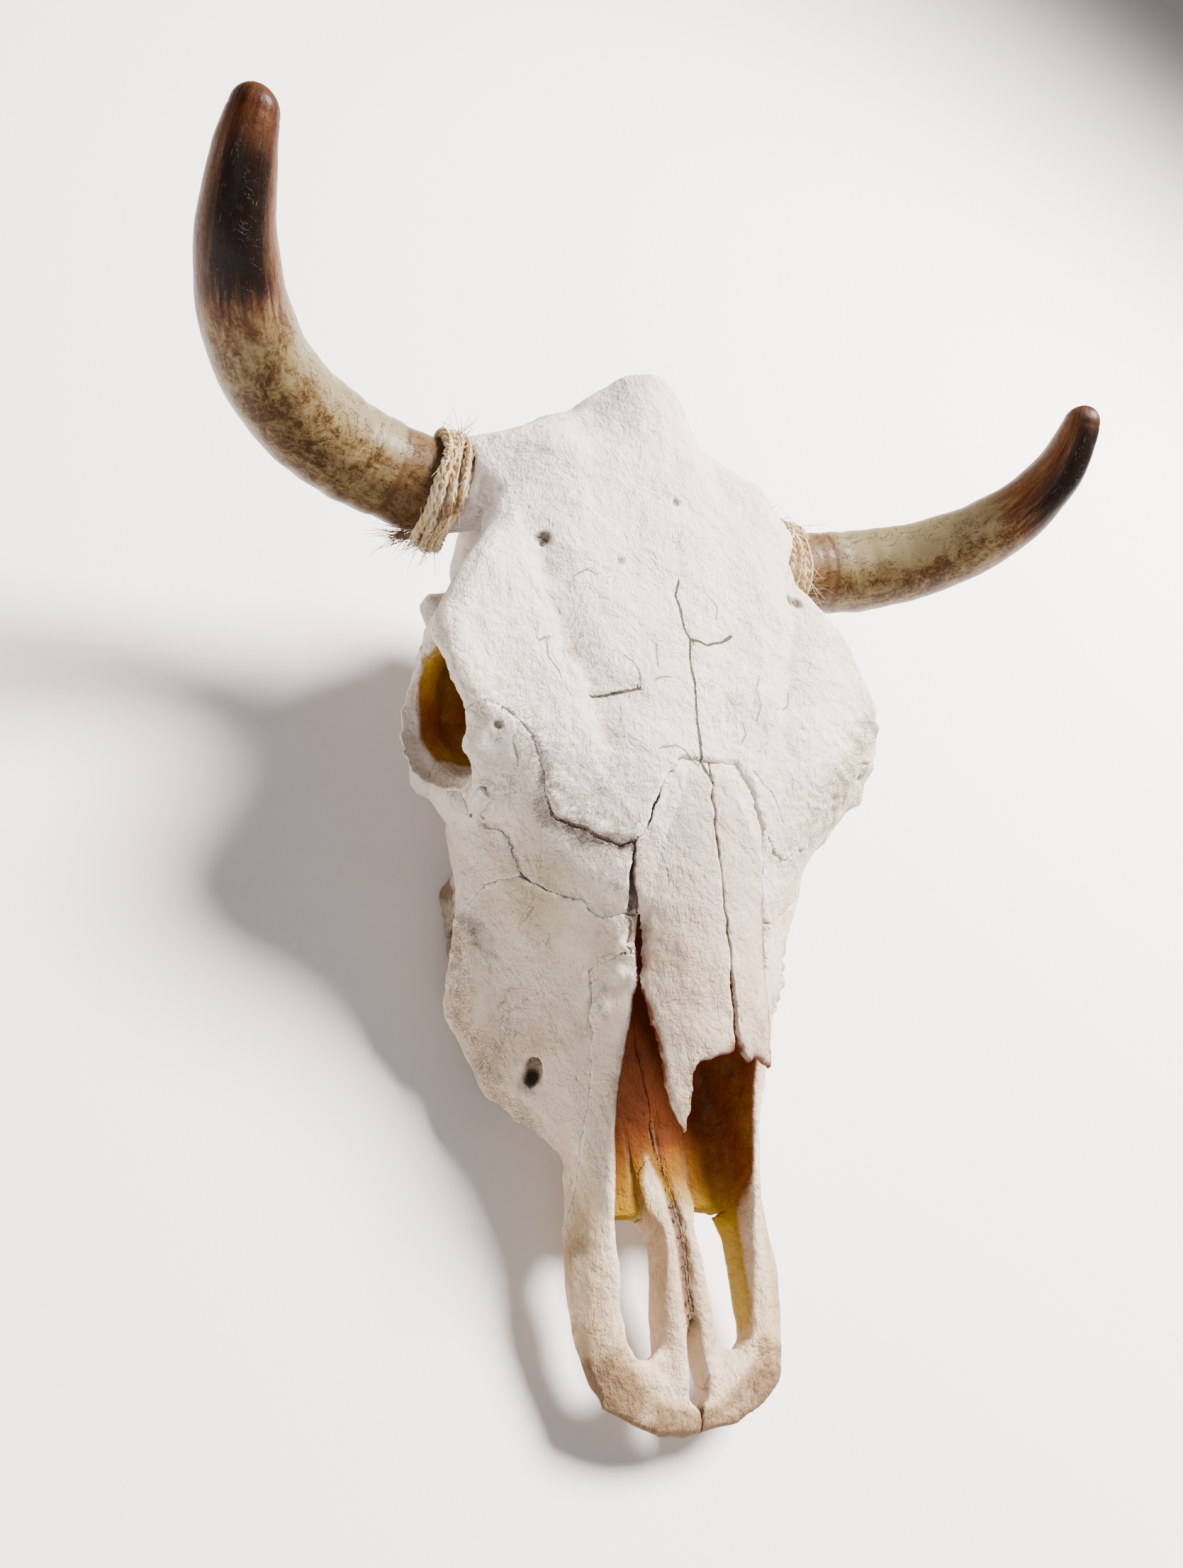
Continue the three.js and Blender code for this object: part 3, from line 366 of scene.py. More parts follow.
def nearest_on(tree, points, reach):
    """Nearest place, its normal, face and distance for each point, as arrays."""
    place, normal = np.array(points), np.zeros_like(points)
    face = np.zeros(len(points), int)
    gap = np.full(len(points), reach)
    for n, p in enumerate(points):
        hit, facing, index, distance = tree.find_nearest(Vector(p), reach)
        if hit is not None:
            place[n], normal[n], face[n], gap[n] = hit, facing, index, distance
    return place, normal, face, gap


def lay_on_skin(points, normals):
    """Lays outer points on the skin and lets the cut faces follow. Says how shut in each one is."""
    place, facing, face, gap = nearest_on(skin_tree, points, SKIN_REACH)
    outer = (gap < OUTER_GAP) & ((normals * facing).sum(1) > OUTER_FACING)
    shift = np.where(outer[:, None], place - points, 0)
    tree = KDTree(int(outer.sum()))
    outer_index = np.flatnonzero(outer)
    for n, i in enumerate(outer_index):
        tree.insert(points[i], n)
    tree.balance()
    for i in np.flatnonzero(~outer):
        _, n, distance = tree.find(points[i])
        shift[i] = shift[outer_index[n]] * math.exp(-distance / FADE)
    return points + shift, outer, shut[face_corner[face]]


# How dark and open each suture is, by the two kinds of bone that meet there; others are faint.
SEAMS = {"frontal lacrimal": 1.0, "frontal nasal": 1.0, "nasal nasal": 0.9, "maxilla nasal": 1.0,
         "lacrimal nasal": 1.0, "nasal premaxilla": 1.0, "lacrimal maxilla": 0.45,
         "lacrimal zygomatic": 0.6, "maxilla premaxilla": 0.1, "maxilla zygomatic": 0.1,
         "premaxilla premaxilla": 0.5}
FAINT_SEAM = 0.2
SEAM_REACH = 7 * MM
SLIT = {"nasal_right": 2.0, "maxilla_right": -2.6, "lacrimal_right": -2.0}


def kind_of(name):
    return name.removesuffix("_left").removesuffix("_right")


def others_tree(own):
    """A search tree of the other bones, and for each of its faces how strong the suture is."""
    shape = bmesh.new()
    strength = []
    for name, group in BONES.items():
        if name != own:
            pair = " ".join(sorted((kind_of(own), kind_of(name))))
            for node in group:
                shape.from_mesh(nodes[node].data)
                strength += [SEAMS.get(pair, FAINT_SEAM)] * len(nodes[node].data.polygons)
    tree = BVHTree.FromBMesh(shape)
    shape.free()
    return tree, np.array(strength)


def slit_shift(name, points):
    """How far the edges beside the right nasal bone draw apart, where the nose shows through."""
    x, y = points[:, 0] / MM, points[:, 1] / MM
    window = step(-75, -52, y) * step(-22, -42, y) * bell(x + 35, 6)
    ragged = 1 + 0.6 * grain(points, 5 * MM, 41)
    return window * ragged * SLIT.get(name, 0)


def settle_bars(points):
    """Lowers the back ends of the two bars in the nose until they flow out of its floor."""
    x, y, z = both_sides(points).T / MM
    floor = np.interp(y, CAVITY["y"], CAVITY["floor"])
    share = step(-108, -168, y) + (y > -100) + (x > 17) + (z < floor) + (z > 70)
    return (floor + (z - floor) * np.clip(share, 0, 1)) * MM


def sculpt(name):
    thing = merged_copy(name, BONES[name])
    mesh = voxelled(thing, BONE_VOXEL.get(name, 1.0) * MM)
    points, normals = points_of(mesh), points_of(mesh, "normal")
    points, outer, nook = lay_on_skin(points, normals)

    # Sutures: close them a little, and let both sides wander together.
    tree, strengths = others_tree(name)
    place, _, face, gap = nearest_on(tree, points, SEAM_REACH)
    strength = strengths[face]
    behind = step(-2, 12, points[:, 1] / MM)
    strength = np.where(points[:, 2] > 100 * MM, strength * (1 - 0.7 * behind), strength)
    seam = 1 - step(0.8 * MM, SEAM_REACH, gap)
    towards = place - points
    towards /= np.maximum(np.linalg.norm(towards, axis=1), 1e-9)[:, None]
    right = points[:, 0] > 4 * MM
    strength = strength * np.where(right, np.where(points[:, 1] > -30 * MM, 0.2, 0.6), 1)
    growth = 0.38 - 0.38 * strength + 0.06 * grain(points, 5 * MM, 3)
    points += towards * (growth * MM * (gap < 1.4 * MM))[:, None]
    wander = 0.75 * grain_vector(points, 6 * MM, 11) + 0.32 * grain_vector(points, 2.6 * MM, 21)
    points += wander * MM * (seam**2)[:, None]
    points[:, 0] += slit_shift(name, points) * MM
    if "maxilla" in name:
        points[:, 2] = settle_bars(points)
    set_points(mesh, points)
    normals = points_of(mesh, "normal")

    # Raised, rough and pitted places.
    folded = both_sides(points)
    rim = bell(path_gap(folded, ORBIT_RIM), 7 * MM)
    upper_rim = rim * step(96, 128, points[:, 2] / MM)
    lobe = path_gap(folded, LOBE_EDGE, (0, 1)) / MM
    upward = step(0.15, 0.5, normals[:, 2])
    alveolar = bell(path_gap(folded, ALVEOLAR_EDGE), 10 * MM)
    rise = 0.75 * grain(points, 17 * MM, 30) + 0.36 * grain(points, 8 * MM, 31)
    rise += 0.17 * grain(points, 3.2 * MM, 32)
    rough = 0.6 * grain(points, 5.4 * MM, 33) + 0.5 * grain(points, 2.6 * MM, 34)
    rise += upper_rim * (0.2 + 1.5 * rough) + 0.3 * rim * rough
    knobs = 0.7 * grain(points, 8 * MM, 37) + 0.5 * grain(points, 4 * MM, 38)
    rise += alveolar * (0.6 + 3.4 * knobs)
    brow = bell(path_gap(points, RIGHT_BROW), 8 * MM)
    rise += brow * (0.3 + 3.2 * knobs)
    rise += 4.2 * near_points(points, TUBERCLES, 5.5) + 2.4 * near_points(points, KNOBS, 4.5)
    rise -= 3.4 * near_points(points, PITS, 1.7) + 4.5 * near_points(points, DARK_HOLES[2:], 2.6)
    ruffle = 0.8 + 0.9 * grain(points, 5 * MM, 35)
    y = points[:, 1] / MM
    if name == "frontal":
        ledge = bell(lobe, 6) * step(16, 2, y) + 0.3 * bell(lobe, 4)
        ledge *= np.where(right, 0.4, 1)
        rise += upward * ledge * ruffle * 1.5
        wrinkle = grain(points * np.array([1, 2.2, 1]), 4.5 * MM, 36)
        rise += 0.55 * wrinkle * step(26, 8, lobe) * upward
        groove_x = np.interp(y, [-5, 120], [44, 74])
        groove = bell(folded[:, 0] / MM - groove_x, 8) * step(-2, 25, y)
        rise -= 1.1 * groove * step(140, 110, y) * upward
    if name.startswith("lacrimal"):
        rise -= upward * bell(lobe, 5) * np.where(right, 0.4, 1.1) * step(16, 2, y)
    if name.startswith(("premaxilla", "maxilla")):
        between = bell(points[:, 0], 2.6 * MM) * step(-212, -190, y) * step(-96, -120, y)
        rise -= 1.5 * between * upward * (points[:, 2] < 75 * MM)
    side, near = crack_marks(points, normals)
    rise -= 0.45 * near * bell(side, 1.1)
    rise -= (0.15 + 0.5 * strength) * bell(gap, 1.6 * MM) * outer
    points += normals * (rise * MM * outer)[:, None]
    points[:, 2] = np.maximum(points[:, 2], 0)
    set_points(mesh, points)
    normals = points_of(mesh, "normal")
    crumble = np.maximum(np.maximum(upper_rim, alveolar), brow)
    crumble = np.maximum(crumble, upward * bell(lobe, 9))

    keep_looks(mesh, points, normals, folded, dict(
        nook=nook, gap=gap, rim=rim, side=side, near=near, outer=outer, name=name,
        strength=strength, crumble=crumble, brow=brow, hollow=hollows(mesh, points, normals)))
    finish_piece(thing, "bone", *BONES[name])
    return thing


print("sculptor ready")

# %% [markdown]
# Thin bone inside the nose and the eye sockets lets light through and reads as amber, darker deeper
# in as painted shade, with a painted glow. The muzzle and the lower edges are brown from soil, and
# shut-in places and the midline of the muzzle get the same brown as painted shade. Pits and holes
# are painted near black as painted shade, and the cheek has a greenish-yellow tinge. Each stain or
# painted shade is one number per point, and the material frays its edges with noise.

# %% Stains as numbers on the points
SOCKET = (102, 58, 112)  # the middle of an eye socket, in millimetres


def hollows(mesh, points, normals):
    """How far each point lies below its surroundings, in millimetres; on ridges it's negative."""
    level = points
    edges = edges_of(mesh)
    for _ in range(7):
        level = spread(level, edges)
    return ((level - points) * normals).sum(1) / MM


def keep_looks(mesh, points, normals, folded, facts):
    x, y, z = (folded / MM).T
    half = np.interp(y, CAVITY["y"], CAVITY["half"])
    floor = np.interp(y, CAVITY["y"], CAVITY["floor"])
    right = points[:, 0] > 12 * MM
    right_wall = 42 * right
    inside_nose = step(-3.2, -0.4, half - x) * step(-12, -4, z - floor) * step(20, 5, y)
    inside_nose *= step(-168, -146, y + right_wall * step(16, 26, x))
    inside_nose *= step(0.1, 0.36, facts["nook"] + 0.2 * step(-160, -120, y))
    bar = step(16, 11, x) * step(0.8, 2.6, x) * step(-120, -168, y)
    inside_nose *= 1 - bar
    socket = path_gap(folded, SOCKET_WAY) / MM
    reach = np.interp(x, [66, 96, 134], [16, 28, 34])
    inwards = np.array(SOCKET) - folded / MM
    facing = normals * np.where(points[:, :1] < 0, [[-1, 1, 1]], [[1, 1, 1]])
    facing = (facing * inwards).sum(1) / np.maximum(np.linalg.norm(inwards, axis=1), 1e-3)
    inside_eye = step(0.1, 0.4, facing)
    if facts["name"] != "lining":
        inside_eye *= 1 - step(4, 12, socket - reach)
    rim_x = np.interp(y, [50, 60, 80, 90], [101, 105, 110, 115])
    inside_eye *= 1 - step(rim_x - 2, rim_x + 1.5, x)
    inside_eye *= np.maximum(step(48, 54, y), step(90, 100, z))
    inside_eye *= step(34, 46, y)
    # How deep in the nose or the socket a point lies sets how dark its amber is: painted shade,
    # darker deeper in. The side wall at +x gets its own level of painted shade.
    deep = near_points(folded, [(84, 84, 92), (96, 72, 90)], 24)
    nose_shade = step(-182, -92, y) * 0.8 + 0.08
    wall = 0.6 + 0.15 * step(-150, -95, y)
    nose_shade += (wall - nose_shade) * step(4, 24, points[:, 0] / MM) * step(0, 12, z - floor)
    amber_depth = np.where(x > 50, 0.36 + 0.40 * deep, nose_shade)
    amber = np.maximum(inside_nose, inside_eye)
    warm = np.exp(-(((x - 68) / 26) ** 2 + ((y + 22) / 26) ** 2 + ((z - 96) / 26) ** 2))
    warm = warm * np.where(points[:, 0] < 0, 1, 0.45) + 0.6 * facts["rim"] * step(80, 60, z)
    warm = np.maximum(warm, 0.8 * facts["brow"])
    front_edge = step(0.64, 0.96, (x / 39) ** 2 + ((y + 188) / 40) ** 2) * step(-190, -212, y)
    front_edge *= 0.8 + 0.5 * step(0.8, 0.4, normals[:, 2])
    muzzle = step(-115, -190, y) * 0.34 + front_edge
    bars = step(-110, -160, y) * step(33, 46, x) * 0.8
    # The middle strip is brown, most at the midline: soil stain, with painted shade in the gap
    # between the premaxillae.
    middle = step(16, 12, x) * step(-105, -125, y) * step(-214, -190, y) * 0.6
    middle *= 1 + 1.6 * bell(x, 2.4)
    # Shut-in places get the same brown as painted shade; the muzzle, bars and alveolar edge are
    # soil.
    brown = np.maximum(np.maximum(np.maximum(muzzle, bars), middle), 0.6 * facts["nook"])
    brown = np.maximum(brown, 0.6 * bell(path_gap(folded, ALVEOLAR_EDGE), 8 * MM))
    tooth = step(20, 15, z) * (abs(y + 8) < 48) * (x > 40) * facts["name"].startswith("maxilla")
    # Pits, foramina and the groove between the premaxillae are painted near black: painted shade in
    # holes.
    groove = bell(x, 1.4) * step(-204, -184, y) * step(-106, -124, y) * 0.45
    pit = np.maximum(near_points(points, PITS, 2.6), near_points(points, DARK_HOLES[2:], 4.8))
    deep_holes = near_points(points, DARK_HOLES[:2], 7.5) * step(0.12, 0.3, facts["nook"])
    looks = dict(
        amber=amber, warm=warm, brown=brown, rim=facts["rim"] * step(100, 125, z),
        seam=bell(facts["gap"], 1.3 * MM) * facts["strength"],
        pit=np.maximum(np.maximum(pit, deep_holes), groove), warmth=step(120, -200, y),
        amber_depth=amber_depth, hollow=facts["hollow"], crumble=facts["crumble"],
        buried=1.0 - facts["outer"], tooth=tooth, crack_side=facts["side"],
        crack_near=facts["near"])
    for key, values in looks.items():
        keep(mesh, key, values)


bones = [sculpt(name) for name in BONES]
print("bones made:", len(bones))

# %% [markdown]
# Behind the eye a thin, translucent wall closes the socket. A ball of points grows until it meets
# bone. Where it meets none, its radius is smoothed from all round, like a soap film, and the half
# that faces out of the socket is cut away.

# %% Socket linings
LINING_REACH = 62 * MM
LINING_WALL = 1.6 * MM
FILM_ROUNDS = 260
OUT_OF_SOCKET = Vector((1, -0.25, 0.3)).normalized()


def socket_lining(side, hand):
    shape = bmesh.new()
    bmesh.ops.create_icosphere(shape, subdivisions=5, radius=1)
    shape.verts.ensure_lookup_table()
    centre = Vector((hand * SOCKET[0], SOCKET[1], SOCKET[2])) * MM
    ways = [v.co.normalized() for v in shape.verts]
    hits = [skin_tree.ray_cast(centre, way, LINING_REACH)[3] for way in ways]
    radius = np.array([[hit or 0.8 * LINING_REACH] for hit in hits])
    free = np.array([hit is None for hit in hits])
    edges = np.array([[v.index for v in e.verts] for e in shape.edges])
    for _ in range(FILM_ROUNDS):
        radius[free] = spread(radius, edges)[free]
    radius[~free] += 0.8 * MM
    outwards = Vector((hand * OUT_OF_SOCKET.x, OUT_OF_SOCKET.y, OUT_OF_SOCKET.z))
    for v, way, length in zip(shape.verts, ways, radius[:, 0]):
        v.co = centre + way * length
    cut = [v for v, way in zip(shape.verts, ways) if way.dot(outwards) > 0.12]
    bmesh.ops.delete(shape, geom=cut, context="VERTS")
    bmesh.ops.smooth_vert(
        shape, verts=shape.verts, factor=0.5, use_axis_x=True, use_axis_y=True, use_axis_z=True)
    bmesh.ops.solidify(shape, geom=shape.faces, thickness=LINING_WALL)
    bmesh.ops.recalc_face_normals(shape, faces=shape.faces)
    mesh = mesh_from(shape, f"socket_lining_{side}")
    points, normals = points_of(mesh), points_of(mesh, "normal")
    none = np.zeros(len(points))
    keep_looks(mesh, points, normals, both_sides(points), dict(
        nook=none + 0.6, gap=none + 1, rim=none, side=none + NO_CRACK, near=none, outer=none + 1,
        name="lining", strength=none, crumble=none, brow=none, hollow=none))
    thing = add_object(mesh.name, mesh)
    finish_piece(thing, "bone")
    return thing


bones += [socket_lining(side, hand) for side, hand in (("left", 1), ("right", -1))]
bpy.data.objects.remove(skin)

# %% [markdown]
# A horn sheath is a tube bent along a smooth curve, in clean lengthwise strips for the streaks to
# follow. Faint growth rings and a groove near the base come from small changes of radius.

# %% Horn sheaths
FOOTPRINT_SHIFT = -5.26  # from the horn curve's own numbers to the middle of the footprint
HORN_CURVE = [(110.7, 188.7, 136.2), (197.9, 205.8, 136.8), (236.3, 156.3, 225.6),
              (226.8, 205.9, 283.8)]
HORN_FROM = -0.022
HORN_RADIUS = {
    "t": [-0.022, 0.04, 0.06, 0.07, 0.08, 0.1, 0.25, 0.45, 0.6, 0.75, 0.89, 0.95, 0.985, 1],
    "mm": [23.6, 23.8, 23.5, 22.7, 23.4, 23.8, 23.9, 21.4, 19, 15.8, 12.2, 10.2, 7.4, 3.6]}
HORN_SIDES = 64
HORN_STATIONS = 110
TIP_FROM = 0.955
TIP_RADIUS = float(np.interp(TIP_FROM, HORN_RADIUS["t"], HORN_RADIUS["mm"]))
BAND_SHIFT = {"left": 0.045, "right": 0.0}  # how much further out the dark band starts
HANDS = {"left": 1, "right": -1}


def horn_place(t, hand):
    a, b, c, d = (Vector(p) for p in HORN_CURVE)
    s = 1 - t
    p = a * s**3 + b * (3 * s * s * t) + c * (3 * s * t * t) + d * t**3
    return Vector((hand * p.x, p.y + FOOTPRINT_SHIFT, p.z)) * MM


def horn_frame(t, hand):
    """Centre, direction and two crosswise axes of the horn at t."""
    way = (horn_place(t + 1e-3, hand) - horn_place(t - 1e-3, hand)).normalized()
    across = Vector((0, -1, 0)).cross(way).normalized()
    return horn_place(t, hand), way, across, way.cross(across)


def tube(name, sides, rings):
    """An upright tube of radius 1 and height 1 with closed ends, cut across into rings."""
    shape = bmesh.new()
    bmesh.ops.create_cone(shape, cap_ends=True, segments=sides, radius1=1, radius2=1, depth=1)
    long_edges = [e for e in shape.edges if abs(e.verts[0].co.z - e.verts[1].co.z) > 0.5]
    bmesh.ops.subdivide_edges(shape, edges=long_edges, cuts=rings, use_grid_fill=True)
    return mesh_from(shape, name)


def keep_vector(mesh, name, values):
    layer = mesh.attributes.new(name, "FLOAT_VECTOR", "POINT")
    layer.data.foreach_set("vector", values.astype(np.float32).ravel())


def horn_sheath(side, hand):
    name = f"horn_sheath_{side}_polished"
    mesh = tube(name, HORN_SIDES, HORN_STATIONS)
    straight = points_of(mesh)
    share = 1 - (1 - (straight[:, 2] + 0.5)) ** 1.4
    t = HORN_FROM + (1 - HORN_FROM) * share
    angle = np.arctan2(straight[:, 1], straight[:, 0])
    radius = np.interp(t, HORN_RADIUS["t"], HORN_RADIUS["mm"])
    cap = np.sqrt(np.clip(1 - ((t - TIP_FROM) / (1 - TIP_FROM)) ** 2, 0.001, 1))
    radius = np.where(t > TIP_FROM, TIP_RADIUS * cap, radius)
    swell = 0.35 * np.sin(t * 95) * step(0.5, 0.05, t) + 0.2 * np.sin(t * 41 + 2 * np.cos(angle))
    radius += swell * step(0.0, 0.05, t) * step(1, 0.9, t)
    points = np.empty_like(straight)
    along = np.empty(len(t))
    for n in range(len(t)):
        centre, way, across, up = horn_frame(t[n], hand)
        out = across * math.cos(angle[n]) + up * math.sin(angle[n])
        points[n] = centre + out * radius[n] * MM
        along[n] = t[n] * HORN_LENGTH
    set_points(mesh, points)
    normals = points_of(mesh, "normal")
    ripple = 0.22 * grain(points, 14 * MM, 51) + 0.1 * grain(points, 4 * MM, 52)
    set_points(mesh, points + normals * (ripple * MM)[:, None])
    keep(mesh, "along", t - BAND_SHIFT[side])
    keep(mesh, "facing", np.sin(angle))
    keep(mesh, "across", np.cos(angle))
    turns = np.stack([along, 0.02 * np.cos(angle), 0.02 * np.sin(angle)], axis=1)
    keep_vector(mesh, "strip", turns)
    thing = add_object(name, mesh)
    finish_piece(thing, "horn", f"horn_sheath_{side}")
    return thing


HORN_LENGTH = sum((horn_place((n + 1) / 40, 1) - horn_place(n / 40, 1)).length for n in range(40))
horns = {side: horn_sheath(side, hand) for side, hand in HANDS.items()}
print("horn length:", round(HORN_LENGTH, 4))

# %% [markdown]
# The straw rope is three strands twisted together: three small circles are spun about the rope's
# own middle while they move along it. The straight rope is then wound on the horn by moving each
# point onto a helix. Loose straws stick out all round.

# %% Straw rope
ROPE = {"start": -13.5, "turns": 4, "half": 2.5, "bore": 24.6}
ROPE_WAY = ROPE["bore"] + ROPE["half"] + 0.15
ROPE_LENGTH = ROPE["turns"] * 2 * math.pi * ROPE_WAY * MM
STRAND_SIDES = 10
STRAND_RADIUS = 1.32 * MM
LAY = 15 * MM  # length of rope in which a strand goes round once


def laid_rope(name):
    """Three strands twisted along +Z, from 0 to the rope's length."""
    shape = bmesh.new()
    for n in range(3):
        place = Matrix.Rotation(n * 2 * math.pi / 3, 4, "Z") @ Matrix.Translation((1.2 * MM, 0, 0))
        bmesh.ops.create_circle(
            shape, cap_ends=False, segments=STRAND_SIDES, radius=STRAND_RADIUS, matrix=place)
    steps = int(ROPE_LENGTH / (1.1 * MM))
    bmesh.ops.spin(
        shape, geom=list(shape.verts) + list(shape.edges), cent=(0, 0, 0), axis=(0, 0, 1),
        dvec=(0, 0, ROPE_LENGTH / steps), angle=2 * math.pi * ROPE_LENGTH / LAY, steps=steps)
    bmesh.ops.holes_fill(shape, edges=shape.edges, sides=STRAND_SIDES)
    bmesh.ops.recalc_face_normals(shape, faces=shape.faces)
    return mesh_from(shape, name)


def winding(distance, hand):
    """Centre of the rope, and its outward and sideways directions, at a distance along it."""
    turn = 2 * math.pi * distance / ROPE_LENGTH * ROPE["turns"]
    root, way, across, up = horn_frame(HORN_FROM, hand)
    out = across * math.cos(turn) + up * math.sin(turn)
    place = ROPE["start"] + ROPE["half"] * (1 + 2 * (ROPE["turns"] - 1) * distance / ROPE_LENGTH)
    sway = 1.1 * math.sin(2.3 * turn + hand) + 0.6 * math.sin(5.1 * turn)
    lift = 0.5 * math.sin(3.7 * turn + 2)
    return root + way * (place + sway) * MM + out * (ROPE_WAY + lift) * MM, out, way


def rope_wrap(side, hand):
    name = f"rope_wrap_{side}_straw"
    mesh = laid_rope(name)
    straight = points_of(mesh)
    points = np.empty_like(straight)
    for n, (u, v, w) in enumerate(straight):
        centre, out, way = winding(min(max(w, 0), ROPE_LENGTH), hand)
        points[n] = centre + out * u + way * v
    set_points(mesh, points)
    normals = points_of(mesh, "normal")
    rough = 0.16 * grain(points, 1.6 * MM, 61) + 0.12 * grain(points, 5 * MM, 62)
    set_points(mesh, points + normals * (rough * MM)[:, None])
    twist = np.arctan2(straight[:, 1], straight[:, 0]) - 2 * math.pi * straight[:, 2] / LAY
    fibre = np.stack([straight[:, 2], 0.002 * np.cos(twist), 0.002 * np.sin(twist)], axis=1)
    keep_vector(mesh, "fibre", fibre)
    thing = add_object(name, mesh)
    finish_piece(thing, "rope", f"rope_wrap_{side}")
    return thing


wraps = {side: rope_wrap(side, hand) for side, hand in HANDS.items()}
print("rope on each side:", round(ROPE_LENGTH, 3), "m")

# %% Loose straws
chance = random.Random(7)
WOUND_STRAWS = 16
STRAWS = 150
TUFT = {"left": 20, "right": 70}
TUFT_TURN = 0.95  # where round the horn the tuft sticks out, in radians


def straw_into(shape, start, towards, droop, length, radius):
    """One tapering straw, bent along its length, added to a bmesh."""
    first = len(shape.verts)
    shape.from_mesh(one_straw)
    shape.verts.ensure_lookup_table()
    turn = towards.to_track_quat("Z", "Y").to_matrix()
    for v in shape.verts[first:]:
        share = v.co.z + 0.5
        thin = radius * (1 - 0.65 * share)
        bent = turn @ Vector((v.co.x * thin, v.co.y * thin, share * length))
        v.co = start + bent + droop * (length * share * share)


def wound_straw(shape, hand):
    """A long flat straw that has worked loose and follows the rope round the horn."""
    first = len(shape.verts)
    shape.from_mesh(long_straw)
    shape.verts.ensure_lookup_table()
    length = chance.uniform(35, 110) * MM
    begin = chance.uniform(0, ROPE_LENGTH - length)
    drift, slack, beat = chance.uniform(-2.6, 2.6), chance.uniform(0.4, 1.5), chance.uniform(30, 75)
    width = chance.uniform(0.4, 0.85) * MM
    for v in shape.verts[first:]:
        share = v.co.z + 0.5
        centre, out, way = winding(begin + share * length, hand)
        aside = drift * (share - 0.5) + 0.7 * math.sin(beat * share * length / MM / 18)
        off = ROPE["half"] - 0.1 + slack * math.sin(math.pi * share)
        v.co = (centre + out * (off * MM + 0.35 * width * v.co.x)
                + way * (aside * MM + width * v.co.y))


one_straw = tube("one_straw", 4, 5)
long_straw = tube("long_straw", 6, 36)


def loose_straws(side, hand, count, tuft):
    shape = bmesh.new()
    for _ in range(WOUND_STRAWS):
        wound_straw(shape, hand)
    for n in range(count + tuft):
        if n == count:
            plain = len(shape.verts)
        in_tuft = n >= count
        distance = chance.uniform(0.02, 0.98) * ROPE_LENGTH
        if in_tuft:
            root, way, across, up = horn_frame(HORN_FROM, hand)
            turn = TUFT_TURN + chance.gauss(0, 0.22)
            out = across * math.cos(turn) + up * math.sin(turn)
            start = root + way * chance.uniform(3, 9) * MM + out * chance.uniform(24.5, 27) * MM
            towards = way * chance.uniform(0.2, 1.4) + out * chance.uniform(0.2, 1)
            length = chance.uniform(6, 17) * MM
        else:
            centre, out, way = winding(distance, hand)
            ahead = (winding(min(distance + MM, ROPE_LENGTH), hand)[0] - centre).normalized()
            start = centre + out * chance.uniform(0.6, 2.3) * MM
            towards = ahead * chance.choice((-1, 1)) + out * chance.uniform(0.05, 0.9)
            towards += way * chance.uniform(-0.6, 0.6)
            length = chance.uniform(6, 20) * MM
        droop = Vector([chance.uniform(-0.25, 0.25) for _ in range(3)])
        radius = chance.uniform(0.16, 0.36) * MM
        straw_into(shape, start, towards.normalized(), droop, length, radius)
    bmesh.ops.recalc_face_normals(shape, faces=shape.faces)
    mesh = mesh_from(shape, f"loose_straws_{side}")
    points = points_of(mesh)
    keep_vector(mesh, "fibre", points)
    keep(mesh, "scorched", (np.arange(len(points)) >= plain) * 1.0)
    thing = add_object(mesh.name, mesh)
    finish_piece(thing, "rope")
    return thing


straws = {side: loose_straws(side, hand, STRAWS, TUFT[side]) for side, hand in HANDS.items()}
print("straws made:", len(straws))

# %% [markdown]
# This small class wraps one socket, so that sums, products and masks read like ordinary maths
# while they add the nodes.

